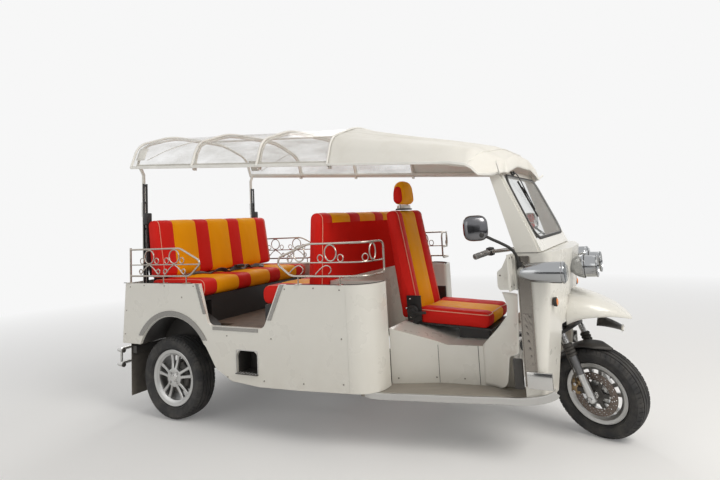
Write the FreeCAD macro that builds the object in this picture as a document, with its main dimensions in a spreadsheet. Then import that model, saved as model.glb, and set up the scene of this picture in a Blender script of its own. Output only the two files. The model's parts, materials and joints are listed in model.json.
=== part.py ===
import FreeCAD, Part
import math
import os
import Sketcher

V = FreeCAD.Vector

# An open seven-seat three-wheeled rickshaw, 1:1, in millimetres.
# +X is forward, +Y is the vehicle's left, +Z is up and the ground is at Z = 0.
# The origin is on the ground in the middle of the overall length and width.
# Names that end in _x are distances ahead of the rear axle, unless the words say otherwise.

SIZES = [
    # name, value, what it is
    ("rear_axle_x", -1084.8, "rear axle line, from the middle of the overall length"),
    ("wheelbase", 2550, "rear axle line to front wheel centre"),
    ("gap", 0.3, "running gap and seam between pieces that fit each other"),
    ("rear_wheel_y", 620, "middle plane of a rear wheel"),
    ("rear_tyre_radius", 266, "155/65 R13 tyre"),
    ("rear_tyre_width", 155, "section width"),
    ("rear_rim_radius", 182, "13 inch rim over the flange"),
    ("rear_rim_width", 114, "4.5 inch rim"),
    ("front_tyre_radius", 243, "135/70 R12 tyre"),
    ("front_tyre_width", 130, "section width"),
    ("front_rim_radius", 165, "12 inch rim over the flange"),
    ("front_rim_width", 96, "over the flanges"),
    ("flange_height", 18, "rim flange above the bead seat"),
    ("rake", 20, "steering axis from the vertical, degrees"),
    ("fork_offset", 45, "wheel centre ahead of the steering axis"),
    ("steer_rest", 21.3, "steered to the right as parked, degrees"),
    ("hub_radius", 48, "cast hub"),
    ("bolt_circle", 50, "radius of the wheel bolts' circle"),
    ("bolt_hole", 7, "radius of a wheel bolt hole"),
    ("body_half_width", 720, "outer face of the side panels"),
    ("panel", 20, "side panel with its inner skin"),
    ("body_top", 888, "top edge of the side panels"),
    ("body_bottom", 300, "lowest edge of the side panels"),
    ("rear_overhang", 402, "top rear corner behind the rear axle"),
    ("rear_slope", 35, "how much further back the foot of the rear panel is"),
    ("rear_bottom", 478, "lower edge behind the wheel"),
    ("arch_x", 42, "middle of the wheel opening"),
    ("arch_z", 341, "height of the wheel opening's centre"),
    ("arch_radius", 332, "wheel opening"),
    ("arch_trim_width", 34, "bright band round the wheel opening"),
    ("door_x", 331, "middle of the rear edge of the door opening"),
    ("door_length", 540, "door opening at mid height"),
    ("door_sill", 630, "door sill"),
    ("door_corner", 45, "radius of the lower corners"),
    ("panel_front_x", 1377, "front end of the flat side panel"),
    ("corner_radius", 150, "curved front corner of the tub"),
    ("corner_reach", 220, "how far the corner comes in from the side"),
    ("bulkhead_x", 1150, "rear face of the bulkhead behind the driver"),
    ("floor_top", 600, "passenger floor"),
    ("floor_thick", 22, "floor board"),
    ("step_x", 674, "middle of the foot step in the side"),
    ("step_width", 168, "foot step"),
    ("step_z", 357, "lower edge of the foot step"),
    ("step_height", 141, "foot step"),
    ("step_depth", 120, "depth of the step box"),
    ("rail_y", 330, "middle of a chassis rail"),
    ("rail_width", 50, "chassis rail"),
    ("rail_bottom", 400, "underside of the chassis rails"),
    ("rail_height", 60, "chassis rail"),
    ("jack_pad", 60, "length of a jacking pad under a chassis rail"),
    ("jack_pad_thick", 8, "jacking pad"),
    ("rear_jack_x", 400, "middle of the rear jacking pads, ahead of the springs"),
    ("front_jack_x", 1250, "middle of the front jacking pads"),
    ("bench_half_width", 618, "both passenger benches"),
    ("rear_cushion_z", 785, "underside of the rear cushion"),
    ("mid_cushion_z", 750, "underside of the middle cushion"),
    ("cushion_thick", 120, "bench cushions"),
    ("soft_gap", 0.4, "gap round the padded pieces"),
    ("rear_cushion_front_x", 222, "front edge of the rear cushion"),
    ("rear_back_foot_x", -150, "front face of the rear backrest at its foot"),
    ("back_thick", 120, "padded backrests"),
    ("back_top", 1321, "top of the rear backrest"),
    ("back_lean", 57, "how far a backrest leans over its height"),
    ("mid_cushion_x", 705, "rear edge of the middle cushion"),
    ("mid_cushion_depth", 340, "middle cushion"),
    ("mid_back_top", 1300, "top of the middle backrest"),
    ("seat_half_width", 220, "driver's seat"),
    ("seat_x", 1595, "rear end of the driver's cushion"),
    ("seat_depth", 465, "driver's cushion"),
    ("seat_z", 606, "underside of the driver's cushion at its rear end"),
    ("seat_fall", 24, "how far the driver's cushion falls towards the front"),
    ("seat_thick", 96, "driver's cushion at its rear end"),
    ("seat_back_top", 1292, "top of the driver's backrest"),
    ("headrest_z", 1325, "underside of the headrest"),
    ("headrest_height", 160, "headrest"),
    ("console_half_width", 475, "rear end of the driver's console"),
    ("console_waist", 372, "half width of the console at its waist"),
    ("console_nose", 326, "half width of the console at its front end"),
    ("console_rear_x", 1512, "rear end of the console"),
    ("console_waist_x", 1760, "waist of the console"),
    ("console_front_x", 2170, "front end of the console"),
    ("console_bottom", 312, "underside of the console"),
    ("console_top", 520, "flat top of the console"),
    ("console_rear_top", 618, "top of the console at its rear end"),
    ("board_thick", 28, "running boards"),
    ("skin", 12, "thickness of the moulded skins"),
    ("shell_x", 2258, "rear edge of the front shell"),
    ("shell_half_width", 506, "front shell"),
    ("shell_face_x", 2425, "front face of the shell at its upper corners"),
    ("shell_nose_x", 2490, "front face of the shell at the middle"),
    ("shell_bottom", 300, "lower edge of the front shell"),
    ("shell_top", 1030, "upper edge of the front shell"),
    ("well_half_width", 262, "front wheel well"),
    ("well_top", 640, "front wheel well"),
    ("screen_foot_x", 2363, "lower edge of the windscreen glass"),
    ("screen_foot_z", 1091, "lower edge of the windscreen glass"),
    ("screen_height", 380, "glass along its slope"),
    ("screen_lean", 23.6, "windscreen from the vertical, degrees"),
    ("screen_foot_half", 457, "half width of the glass at its foot"),
    ("screen_top_half", 425, "half width of the glass at its top"),
    ("screen_border", 34, "frame round the glass"),
    ("tube", 14, "radius of the roof and post tubes"),
    ("post_x", -355, "rear post"),
    ("post_y", 598, "rear post"),
    ("roof_half_width", 630, "roof rail"),
    ("roof_rear_z", 1684, "roof rail over the rear axle line"),
    ("roof_drop", 84, "fall of the roof rail for each metre forward"),
    ("roof_rise", 262, "crown of the roof over its rail"),
    ("canopy_thick", 5, "canopy sheet"),
    ("canopy_half_width", 664, "canopy at its lower edge"),
    ("canopy_rear_x", -412, "rear edge of the canopy"),
    ("canopy_seam_x", 1262, "seam between the clear and the canvas part"),
    ("canopy_front_x", 2250, "front edge of the canopy"),
    ("rail_tube", 11, "radius of the side rails' tubes"),
    ("side_rail_y", 706, "middle of the side rails' tubes"),
    ("side_rail_top", 1117, "top bar of the side rails"),
    ("side_rail_mid", 1011, "middle bar of the side rails"),
    ("side_rail_low", 935, "bottom bar of the side rails"),
    ("ring_radius", 42, "ornamental rings in the side rails"),
    ("lamp_radius", 57, "headlamp barrel"),
    ("lamp_y", 132, "headlamp"),
    ("lamp_z", 926, "headlamp"),
    ("pod_y", 545, "turn signal pod"),
    ("pod_z", 938, "turn signal pod"),
    ("bumper_x", -600, "rear bumper"),
    ("bumper_half_width", 640, "rear bumper"),
    ("mirror_y", 750, "outer edge of a mirror"),
    ("bar_half_width", 340, "handlebar"),
    ("bar_sweep", 120, "how far the grips are swept back"),
    ("bar_height", 860, "handlebar clamp along the steering axis from the wheel centre"),
    ("grip_radius", 17, "handlebar grip"),
]

doc = FreeCAD.newDocument("Rickshaw")
sheet = doc.addObject("Spreadsheet::Sheet", "Sizes")
for row, (name, value, words) in enumerate(SIZES, start=1):
    sheet.set("A%d" % row, name)
    sheet.set("B%d" % row, str(value))
    sheet.set("C%d" % row, words)
    sheet.setAlias("B%d" % row, name)
doc.recompute()

NODES = []


def cells(text):
    # turns bare size names into references to the sheet
    words = []
    word = ""
    for letter in text + " ":
        if letter.isalnum() or letter in "_.":
            word += letter
            continue
        words.append("Sizes." + word if word in NAMES else word)
        words.append(letter)
        word = ""
    return "".join(words).strip()


NAMES = {name for name, value, words in SIZES}


def num(text):
    # the number that a size name or a sum of them stands for
    return float(sheet.evalExpression(cells(str(text))))


def ahead(text):
    # a place given as a distance ahead of the rear axle
    return "rear_axle_x + (%s)" % text


def bind(thing, prop, text):
    thing.setExpression(prop, cells(str(text)))


def place(thing, x="0", y="0", z="0"):
    for letter, text in (("x", x), ("y", y), ("z", z)):
        bind(thing, ".Placement.Base." + letter, text)
    return thing


def keep(thing, label):
    # a finished sub-part: its label names its file
    thing.Label = label
    NODES.append(thing)
    return thing


def box(length, width, height, x, y, z):
    thing = doc.addObject("Part::Box", "Block")
    bind(thing, "Length", length)
    bind(thing, "Width", width)
    bind(thing, "Height", height)
    return place(thing, x, y, z)


def mirror(piece):
    # the same piece on the other side of the vehicle
    thing = doc.addObject("Part::Mirroring", "Mirrored")
    thing.Source = piece
    thing.Normal = V(0, 1, 0)
    return thing


def shaped(shape, name="Shape"):
    thing = doc.addObject("Part::Feature", name)
    thing.Shape = shape
    return thing


def both(shape):
    # a shape and its mirror image across the middle plane
    return Part.makeCompound([shape, shape.mirror(V(0, 0, 0), V(0, 1, 0))])


def plane_of(body, role):
    return [item for item in body.Origin.OriginFeatures if item.Role == role][0]


def bound_sketch(body, plane, outline):
    # a closed polygon whose corners are tied to the sheet, or a circle given as (u, v, radius)
    sketch = body.newObject("Sketcher::SketchObject", "Outline")
    sketch.AttachmentSupport = [(plane_of(body, plane), "")]
    sketch.MapMode = "FlatFace"
    if len(outline) == 1:
        u, v, radius = outline[0]
        sketch.addGeometry(Part.Circle(V(num(u), num(v), 0), V(0, 0, 1), num(radius)))
        tie(sketch, "DistanceX", 0, 3, u)
        tie(sketch, "DistanceY", 0, 3, v)
        bind(sketch, "Constraints[%d]" % sketch.addConstraint(Sketcher.Constraint("Radius", 0, num(radius))), radius)
        return sketch
    count = len(outline)
    corners = [V(num(u), num(v), 0) for u, v in outline]
    for i in range(count):
        sketch.addGeometry(Part.LineSegment(corners[i], corners[(i + 1) % count]))
    for i in range(count):
        sketch.addConstraint(Sketcher.Constraint("Coincident", i, 2, (i + 1) % count, 1))
    for i, (u, v) in enumerate(outline):
        tie(sketch, "DistanceX", i, 1, u)
        tie(sketch, "DistanceY", i, 1, v)
    return sketch


def tie(sketch, kind, item, end, text):
    index = sketch.addConstraint(Sketcher.Constraint(kind, -1, 1, item, end, num(text)))
    bind(sketch, "Constraints[%d]" % index, text)


PAD_PLANES = {"side": ("XZ_Plane", "y", -1), "plan": ("XY_Plane", "z", 1), "front": ("YZ_Plane", "x", 1)}


def plate(view, outline, low, thick, rounds=()):
    # a flat piece: its outline seen from the side, from above or from the front, and its thickness
    plane, letter, sense = PAD_PLANES[view]
    body = doc.addObject("PartDesign::Body", "Plate")
    sketch = bound_sketch(body, plane, outline)
    pad = body.newObject("PartDesign::Pad", "Thickness")
    pad.Profile = sketch
    bind(pad, "Length", thick)
    start = low if sense > 0 else "(%s) + (%s)" % (low, thick)
    bind(body, ".Placement.Base." + letter, start)
    doc.recompute()
    for corner, radius in rounds:
        round_corner(body, view, corner, radius)
    return body


def round_corner(body, view, corner, radius):
    # rounds the edge across the plate at one corner of its outline
    letter = PAD_PLANES[view][1]
    u, v = num(corner[0]), num(corner[1])
    wanted = {"y": lambda p: (p.x, p.z), "z": lambda p: (p.x, p.y), "x": lambda p: (p.y, p.z)}[letter]
    tip = body.Tip
    shape = tip.Shape
    names = []
    for index, edge in enumerate(shape.Edges, start=1):
        ends = [wanted(vertex.Point) for vertex in edge.Vertexes]
        if len(ends) == 2 and all(math.hypot(a - u, b - v) < 0.01 for a, b in ends):
            names.append("Edge%d" % index)
    fillet = body.newObject("PartDesign::Fillet", "Round")
    fillet.Base = (tip, names)
    bind(fillet, "Radius", radius)
    doc.recompute()


def window(body, view, outline, rounds=()):
    # an opening right through a plate
    plane, letter, sense = PAD_PLANES[view]
    before = body.Shape.Volume
    sketch = bound_sketch(body, plane, outline)
    pocket = body.newObject("PartDesign::Pocket", "Opening")
    pocket.Profile = sketch
    pocket.Type = 1
    pocket.Midplane = True
    doc.recompute()
    if body.Shape.Volume > before - 1:
        raise RuntimeError("an opening cuts nothing")
    for corner, radius in rounds:
        round_corner(body, view, corner, radius)


def path(points, bends):
    # straight runs joined by tangent arcs; each point is (x, y, z)
    points = [V(*point) for point in points]
    if not isinstance(bends, (list, tuple)):
        bends = [bends] * (len(points) - 2)
    edges = []
    start = points[0]
    for before, here, after, bend in zip(points, points[1:], points[2:], bends):
        back = (before - here).normalize()
        on = (after - here).normalize()
        half = back.getAngle(on) / 2
        reach = bend / math.tan(half)
        first = here + back * reach
        last = here + on * reach
        middle = here + (back + on).normalize() * (bend / math.sin(half) - bend)
        if (first - start).Length > 0.01:
            edges.append(Part.LineSegment(start, first).toShape())
        edges.append(Part.Arc(first, middle, last).toShape())
        start = last
    edges.append(Part.LineSegment(start, points[-1]).toShape())
    return Part.Wire(edges)


def pipe(points, radius, bend=0):
    # a round bar along straight runs with mitred turns; a bend adds short runs at each turn
    points = [V(*point) for point in points]
    runs = points[:1]
    bends = bend if isinstance(bend, list) else [bend] * (len(points) - 2)
    for before, here, after, bend in zip(points, points[1:], points[2:], bends):
        if bend == 0:
            runs.append(here)
            continue
        back = (before - here).normalize()
        on = (after - here).normalize()
        half = back.getAngle(on) / 2
        reach = bend / math.tan(half)
        first = here + back * reach
        last = here + on * reach
        runs += [first, (here * 0.5 + (first + last) * 0.25), last]
    runs.append(points[-1])
    ring = Part.Circle(runs[0], runs[1] - runs[0], radius)
    return Part.makePolygon(runs).makePipeShell([Part.Wire([ring.toShape()])], True, True, 1)


def prism(points, push):
    # a flat face through the points, pushed along a vector
    wire = Part.makePolygon([V(*point) for point in points] + [V(*points[0])])
    return Part.Face(wire).extrude(V(*push))


def united(shapes):
    result = shapes[0]
    for shape in shapes[1:]:
        result = result.fuse(shape)
    return result.removeSplitter()


# places used by many pieces, in millimetres
AXLE = num("rear_axle_x")
HALF = num("body_half_width")
WALL = num("panel")
TOP = num("body_top")
GAP = num("gap")
SOFT = num("soft_gap")


def along(distance):
    return AXLE + distance


# steering axis, and the turn that brings the straight front end to its parked position
RAKE = math.radians(num("rake"))
STEER = math.radians(num("steer_rest"))
LEAN = math.asin(math.sin(STEER) * math.sin(RAKE))
OFFSET = num("fork_offset")
AXLE_HEIGHT = num("front_tyre_radius") * math.cos(LEAN) + num("front_tyre_width") * 0.15 * math.sin(LEAN)
AXIS_UP = V(-math.sin(RAKE), 0, math.cos(RAKE))
AXIS_FORE = V(math.cos(RAKE), 0, math.sin(RAKE))
AXIS_FOOT = V(along(num("wheelbase")) - OFFSET * math.cos(RAKE), 0,
              AXLE_HEIGHT - OFFSET * math.cos(STEER) * math.sin(RAKE))
STEERED = FreeCAD.Placement(V(), FreeCAD.Rotation(AXIS_UP, -num("steer_rest")), AXIS_FOOT)
HUB = AXIS_FOOT + AXIS_FORE * OFFSET


def on_fork(fore, side, up):
    # a point in the front end: ahead of the steering axis, to the left, and up along it
    return AXIS_FOOT + AXIS_FORE * fore + V(0, side, 0) + AXIS_UP * up


LOWER_YOKE = 350
UPPER_YOKE = 475
YOKE = 16


# Wheels

def turned(profile):
    # a solid of revolution about Y from (along the axis, radius) corners
    corners = [V(0, y, radius) for y, radius in profile]
    return Part.Face(Part.makePolygon(corners + corners[:1])).revolve(V(), V(0, 1, 0), 360)


def tyre(radius, width, rim_radius, rim_width):
    # bead, sidewall, shoulder and a crowned tread
    seat = rim_radius - num("flange_height") + GAP
    half = width / 2
    tall = radius - seat
    bead = rim_width / 2 - 8
    side = [(bead, seat), (bead, rim_radius + 2), (half, seat + tall * 0.55), (half * 0.6, radius)]
    return turned([(-y, r) for y, r in side] + side[::-1])


def rim(rim_radius, rim_width, hub_back, spoke_pairs=5):
    # barrel with flanges, dished twin-spoke face towards -Y, hub with bolt holes
    half = rim_width / 2
    seat = rim_radius - num("flange_height")
    well = seat - 14
    barrel = turned([(-half, rim_radius), (-half + 7, rim_radius), (-half + 7, seat), (-half + 22, seat),
                     (-half + 34, well), (half - 34, well), (half - 22, seat), (half - 7, seat),
                     (half - 7, rim_radius), (half, rim_radius), (half, well - 7), (-half, well - 7)])
    face = -half + 10
    hub = num("hub_radius")
    disc = turned([(face + 4, 0), (face, hub * 0.55), (face + 4, hub + 10), (face + 30, hub + 10), (hub_back, hub),
                   (hub_back, 0)])
    pieces = [barrel, disc]
    inner = hub + 4
    outer = well - 5
    for k in range(spoke_pairs):
        for side in (-1, 1):
            near = side * 13
            far = side * 24
            foot = [(inner, near - 7), (inner, near + 7), (outer, far + 10), (outer, far - 10)]
            spoke = prism([(x, face + 2, z) for x, z in foot], (0, 22, 0))
            spoke.rotate(V(), V(0, 1, 0), 90 + k * 360 / spoke_pairs)
            pieces.append(spoke)
    wheel = pieces[0].multiFuse(pieces[1:])
    holes = []
    for k in range(4):
        hole = Part.makeCylinder(num("bolt_hole"), 60, V(num("bolt_circle"), -half - 5, 0), V(0, 1, 0))
        hole.rotate(V(), V(0, 1, 0), 45 + k * 90)
        holes.append(hole)
    return wheel.cut(Part.makeCompound(holes))


def make_wheels():
    radius = num("rear_tyre_radius")
    hub_back = 50
    for side, name in ((-1, "right"), (1, "left")):
        turn = FreeCAD.Rotation() if side < 0 else FreeCAD.Rotation(V(0, 0, 1), 180)
        spot = FreeCAD.Placement(V(AXLE, side * num("rear_wheel_y"), radius), turn)
        body = shaped(tyre(radius, num("rear_tyre_width"), num("rear_rim_radius"), num("rear_rim_width")))
        body.Placement = spot
        keep(body, "tyre_rear_" + name)
        body = shaped(rim(num("rear_rim_radius"), num("rear_rim_width"), hub_back))
        body.Placement = spot
        keep(body, "rim_rear_" + name)
    spot = STEERED.multiply(FreeCAD.Placement(HUB, FreeCAD.Rotation()))
    body = shaped(tyre(num("front_tyre_radius"), num("front_tyre_width"), num("front_rim_radius"),
                       num("front_rim_width")))
    body.Placement = spot
    keep(body, "tyre_front")
    # the brake disc is bolted to the wheel on the near side
    wheel = rim(num("front_rim_radius"), num("front_rim_width"), 50)
    disc = Part.makeCylinder(105, 5, V(0, -56, 0), V(0, 1, 0)).cut(
        Part.makeCylinder(62, 5, V(0, -56, 0), V(0, 1, 0)))
    carrier = Part.makeCylinder(64, 5, V(0, -56, 0), V(0, 1, 0)).cut(
        Part.makeCylinder(30, 5, V(0, -56, 0), V(0, 1, 0)))
    stand = Part.makeCylinder(36, 22, V(0, -56, 0), V(0, 1, 0))
    body = shaped(wheel.multiFuse([disc, carrier, stand]).cut(
        Part.makeCylinder(12, 200, V(0, -100, 0), V(0, 1, 0))))
    body.Placement = spot
    keep(body, "rim_front")


# Chassis and running gear

def make_chassis():
    rail_bottom = num("rail_bottom")
    rail_height = num("rail_height")
    width = num("rail_width")
    rail_y = num("rail_y")
    pieces = []
    rear = along(-380)
    front = along(1470)
    for side in (-1, 1):
        pieces.append(Part.makeBox(front - rear, width, rail_height, V(rear, side * rail_y - width / 2, rail_bottom)))
    # cross members, as (place ahead of the axle, half width)
    for x, half in ((-375, 690), (300, 480), (480, 690), (1080, 690), (1440, 420)):
        pieces.append(Part.makeBox(40, 2 * half, rail_height - 10, V(along(x), -half, rail_bottom + 5)))
    # posts that carry the floor
    floor_under = num("floor_top - floor_thick")
    for x in (-370, 310, 1085):
        for y in (-rail_y, rail_y):
            pieces.append(Part.makeBox(36, 36, floor_under - rail_bottom - 30, V(along(x) + 2, y - 18, rail_bottom + 30)))
    # jacking pads under the rails
    pad = num("jack_pad")
    thick = num("jack_pad_thick")
    for x in (num("rear_jack_x"), num("front_jack_x")):
        for y in (-rail_y, rail_y):
            low = V(along(x) - pad / 2, y - width / 2 + 3, rail_bottom - thick)
            pieces.append(Part.makeBox(pad, width - 6, thick + 5, low))
    # bars under the running boards, hung from the front cross member
    bar_top = num("console_bottom - board_thick") - 2 * GAP
    for side in (-1, 1):
        pieces.append(Part.makeBox(800, 40, 28, V(along(1440), side * 370 - 20, bar_top - 28)))
        pieces.append(Part.makeBox(40, 40, rail_bottom + 20 - bar_top, V(along(1440), side * 370 - 20, bar_top - 10)))
    # backbone up to the steering head
    head_low = on_fork(0, 0, LOWER_YOKE + YOKE + 6)
    head_high = on_fork(0, 0, UPPER_YOKE - 6)
    bone = 30
    start = V(along(1445), 0, rail_bottom + 30)
    knee = V(along(2040), 0, rail_bottom + 30)
    head = (head_low + head_high) * 0.5
    reach = (head - knee).normalize()
    across = V(-reach.z, 0, reach.x)
    pieces.append(Part.makeBox(knee.x - start.x + 12, 2 * bone, 2 * bone, V(start.x, -bone, start.z - bone)))
    side_points = [knee - across * bone, knee + across * bone, head + across * bone, head - across * bone]
    pieces.append(prism([(p.x, -bone, p.z) for p in side_points], (0, 2 * bone, 0)))
    # cross tube that carries the front shell
    cross = V(along(2275), 0, knee.z + (along(2275) - knee.x) * reach.z / reach.x)
    shell_inside = num("shell_half_width - skin") - GAP
    cross_tube = Part.makeCylinder(14, 2 * shell_inside, cross - V(0, shell_inside, 0), V(0, 1, 0))
    flanges = [Part.makeCylinder(34, 8, cross + V(0, side * (shell_inside - 4) - 4, 0), V(0, 1, 0))
               for side in (-1, 1)]
    pieces.append(cross_tube.multiFuse(flanges).common(shell_solid(num("skin") + GAP, 60)))
    tube_outer = Part.makeCylinder(32, (head_high - head_low).Length, head_low, AXIS_UP)
    bore = Part.makeCylinder(17 + GAP, 400, on_fork(0, 0, 300), AXIS_UP)
    frame = pieces[0].multiFuse(pieces[1:] + [tube_outer]).cut(bore)
    keep(shaped(frame), "chassis_frame")
    side = "(rail_y - rail_width / 2 - 12)"
    bed = "rail_bottom + rail_height - 5 + gap"
    keep(box("640", "2 * " + side, "floor_top - floor_thick - gap - (%s)" % bed, ahead("455"), "-" + side, bed),
         "battery_block")


def make_rear_axle():
    radius = num("rear_tyre_radius")
    end = num("rear_wheel_y") - 50 - GAP
    tube = Part.makeCylinder(34, 2 * end, V(AXLE, -end, radius), V(0, 1, 0))
    housing = Part.makeCylinder(95, 110, V(AXLE, -55, radius), V(0, 1, 0))
    motor = Part.makeCylinder(88, 230, V(AXLE + 20, 0, radius + 20), V(1, 0, 0))
    drums = [Part.makeCylinder(92, 30, V(AXLE, side * (end - 15) - 15, radius), V(0, 1, 0)) for side in (-1, 1)]
    keep(shaped(tube.multiFuse([housing, motor] + drums)), "rear_axle")
    # leaf springs under the rails, clamped on the axle, and dampers
    pieces = []
    spring_y = num("rail_y")
    half = 26
    seat_z = radius + 34 + GAP
    underside = num("rail_bottom") - GAP
    for side in (-1, 1):
        leaf = [(-330, underside), (-290, underside), (-60, seat_z + 16), (60, seat_z + 16), (290, underside),
                (330, underside), (300, underside - 16), (60, seat_z), (-60, seat_z), (-300, underside - 16)]
        spring = prism([(along(x), side * spring_y - half, z) for x, z in leaf], (0, 2 * half, 0))
        clamp = Part.makeBox(90, 56, 14, V(AXLE - 45, side * spring_y - 28, seat_z + 15))
        pieces.append(spring.fuse(clamp))
    keep(shaped(Part.makeCompound(pieces)), "rear_springs")


# Body

def make_body_sides():
    rear_top = ahead("-rear_overhang")
    rear_foot = ahead("-rear_overhang - rear_slope")
    front = ahead("panel_front_x")
    outline = [(rear_top, "body_top"), (front, "body_top"), (front, "body_bottom + 16"),
               (ahead("1052"), "body_bottom"), (ahead("766"), "body_bottom - 8"), (ahead("552"), "body_bottom + 8"),
               (ahead("424"), "body_bottom + 74"), (ahead("337"), "rear_bottom + 30"),
               (ahead("arch_x"), "rear_bottom + 30"), (ahead("-253"), "rear_bottom"), (rear_foot, "rear_bottom")]
    body = plate("side", outline, "-body_half_width", "panel", [((ahead("424"), "body_bottom + 74"), "60")])
    window(body, "side", [(ahead("arch_x"), "arch_z", "arch_radius")])
    foot_rear = (ahead("door_x + 35"), "door_sill")
    foot_front = (ahead("door_x + door_length - 66"), "door_sill")
    window(body, "side", [(ahead("door_x - 35"), "body_top + 10"), foot_rear, foot_front,
                          (ahead("door_x + door_length + 63"), "body_top + 10")],
           [(foot_rear, "door_corner"), (foot_front, "door_corner")])
    step_low = (ahead("step_x - step_width / 2"), "step_z")
    step_far = (ahead("step_x + step_width / 2"), "step_z")
    step_top = (ahead("step_x + step_width / 2"), "step_z + step_height")
    step_left = (ahead("step_x - step_width / 2"), "step_z + step_height")
    window(body, "side", [step_low, step_far, step_top, step_left], [(step_top, "50"), (step_left, "50")])
    keep(body, "body_side_right")
    keep(mirror(body), "body_side_left")


def make_tub_front():
    # curved corners, return panels and the bulkhead between them, as one folded wall seen from above
    bulkhead = num("bulkhead_x")
    front = num("panel_front_x")
    curve = num("corner_radius") - GAP
    reach = HALF - num("corner_reach")
    outer = front + curve + GAP
    half = [(front + GAP, -HALF, 0), (outer, -HALF, curve), (outer, -reach, 20), (bulkhead + WALL, -reach, 20)]
    inner = [(bulkhead, -reach - WALL, 20), (outer - WALL, -reach - WALL, 8),
             (outer - WALL, -HALF + WALL, curve - WALL), (front + GAP, -HALF + WALL, 0)]
    loop = half + [(x, -y, r) for x, y, r in reversed(half)]
    loop += [(x, -y, r) for x, y, r in reversed(inner)] + inner
    wall = Part.Face(rounded_loop(loop, num("body_bottom") + 16)).extrude(V(0, 0, TOP - num("body_bottom") - 16))
    rails_top = num("rail_bottom + rail_height") + GAP
    notch = Part.makeBox(3 * WALL, 2 * (reach - 2 * WALL), 400, V(along(bulkhead - WALL), 2 * WALL - reach, rails_top - 400))
    keep(shaped(wall.cut(notch)), "tub_front")


def rounded_loop(points, z):
    # a closed outline seen from above, with a radius at each corner
    corners = [(V(along(x), y, z), r) for x, y, r in points]
    edges = []
    count = len(corners)
    ends = []
    for i, (here, radius) in enumerate(corners):
        if radius == 0:
            ends.append((here, None, here))
            continue
        back = (corners[i - 1][0] - here).normalize()
        on = (corners[(i + 1) % count][0] - here).normalize()
        half = back.getAngle(on) / 2
        reach = radius / math.tan(half)
        middle = here + (back + on).normalize() * (radius / math.sin(half) - radius)
        ends.append((here + back * reach, middle, here + on * reach))
    for i, (first, middle, last) in enumerate(ends):
        if middle is not None:
            edges.append(Part.Arc(first, middle, last).toShape())
        following = ends[(i + 1) % count][0]
        if (following - last).Length > 0.01:
            edges.append(Part.LineSegment(last, following).toShape())
    return Part.Wire(edges)


def make_rear_panel():
    # the tailgate, leaning with the sides' rear edges
    inside = HALF - WALL - GAP
    rear = -num("rear_overhang")
    slope = num("rear_slope")
    low = num("rear_bottom")
    points = [(along(rear), -inside, TOP), (along(rear + WALL), -inside, TOP),
              (along(rear - slope + WALL), -inside, low), (along(rear - slope), -inside, low)]
    keep(shaped(prism(points, (0, 2 * inside, 0))), "rear_panel")
    lamps = []
    for y, z, size in ((-560, 760, 46), (-560, 660, 34)):
        back = along(rear - slope * (TOP - z + size) / (TOP - low))
        lens = Part.makeCylinder(size, 26, V(back - 26 - GAP, y, z), V(1, 0, 0))
        lamps.append(lens)
    keep(shaped(both(Part.makeCompound(lamps))), "tail_lamps")


def make_floor():
    rear = ahead("-rear_overhang + panel + 2")
    wide = "body_half_width - panel - gap"
    narrow = "body_half_width - 225"
    front = ahead("bulkhead_x - gap")
    corner = ahead("arch_x + arch_radius + 12")
    outline = [(rear, "-(%s)" % narrow), (corner, "-(%s)" % narrow), (corner, "-(%s)" % wide),
               (front, "-(%s)" % wide), (front, wide), (corner, wide), (corner, narrow), (rear, narrow)]
    keep(plate("plan", outline, "floor_top - floor_thick", "floor_thick"), "floor_pan")


def make_arch_liners():
    # black wheel houses inside the openings
    centre_x = along(num("arch_x"))
    centre_z = num("arch_z")
    radius = num("arch_radius")
    outer = -HALF + WALL + GAP
    depth = 200
    skin = 8
    centre = V(centre_x, outer, centre_z)
    shell = Part.makeCylinder(radius + skin, depth, centre, V(0, 1, 0))
    shell = shell.cut(Part.makeCylinder(radius, depth - skin, centre, V(0, 1, 0)))
    keep_above = Part.makeBox(900, 400, 500, V(centre_x - 450, outer - 10, num("rear_bottom")))
    axle_slot = Part.makeBox(240, 60, 200, V(AXLE - 120, outer + depth - 40, 200))
    keep(shaped(both(shell.common(keep_above).cut(axle_slot))), "arch_liners")


def make_trims():
    # bright band round the wheel opening, and the angle on the door's edges
    centre = V(along(num("arch_x")), -HALF - 4 - GAP, num("arch_z"))
    radius = num("arch_radius") + 4
    band = Part.makeCylinder(radius + num("arch_trim_width"), 4, centre, V(0, 1, 0))
    band = band.cut(Part.makeCylinder(radius, 4, centre, V(0, 1, 0)))
    band = band.common(Part.makeBox(800, 20, 300, centre + V(-400, -8, 196)))
    sill = num("door_sill")
    door = num("door_x")
    length = num("door_length")
    foot = 24
    low_rear = door + 35
    low_front = door + length - 66
    top_rear = door - 35
    top_front = door + length + 63
    trim = prism([(along(low_rear + 40), -HALF - 3 - GAP, sill - 4), (along(low_front - 40), -HALF - 3 - GAP, sill - 4),
                  (along(low_front - 40), -HALF - 3 - GAP, sill - foot), (along(low_rear + 40), -HALF - 3 - GAP,
                                                                         sill - foot)], (0, 3, 0))
    rear_edge = prism([(along(top_rear - 6), -HALF - 3 - GAP, TOP), (along(low_rear - 12), -HALF - 3 - GAP, sill + 70),
                       (along(low_rear - 40), -HALF - 3 - GAP, sill + 70), (along(top_rear - 32), -HALF - 3 - GAP,
                                                                          TOP)], (0, 3, 0))
    front_edge = prism([(along(top_front - 6 + 12), -HALF - 3 - GAP, TOP), (along(low_front + 34), -HALF - 3 - GAP,
                                                                         sill + 50),
                        (along(low_front + 60), -HALF - 3 - GAP, sill + 50), (along(top_front + 32),
                                                                           -HALF - 3 - GAP, TOP)], (0, 3, 0))
    keep(shaped(both(Part.makeCompound([band, trim, rear_edge, front_edge]))), "side_trims")


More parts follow.
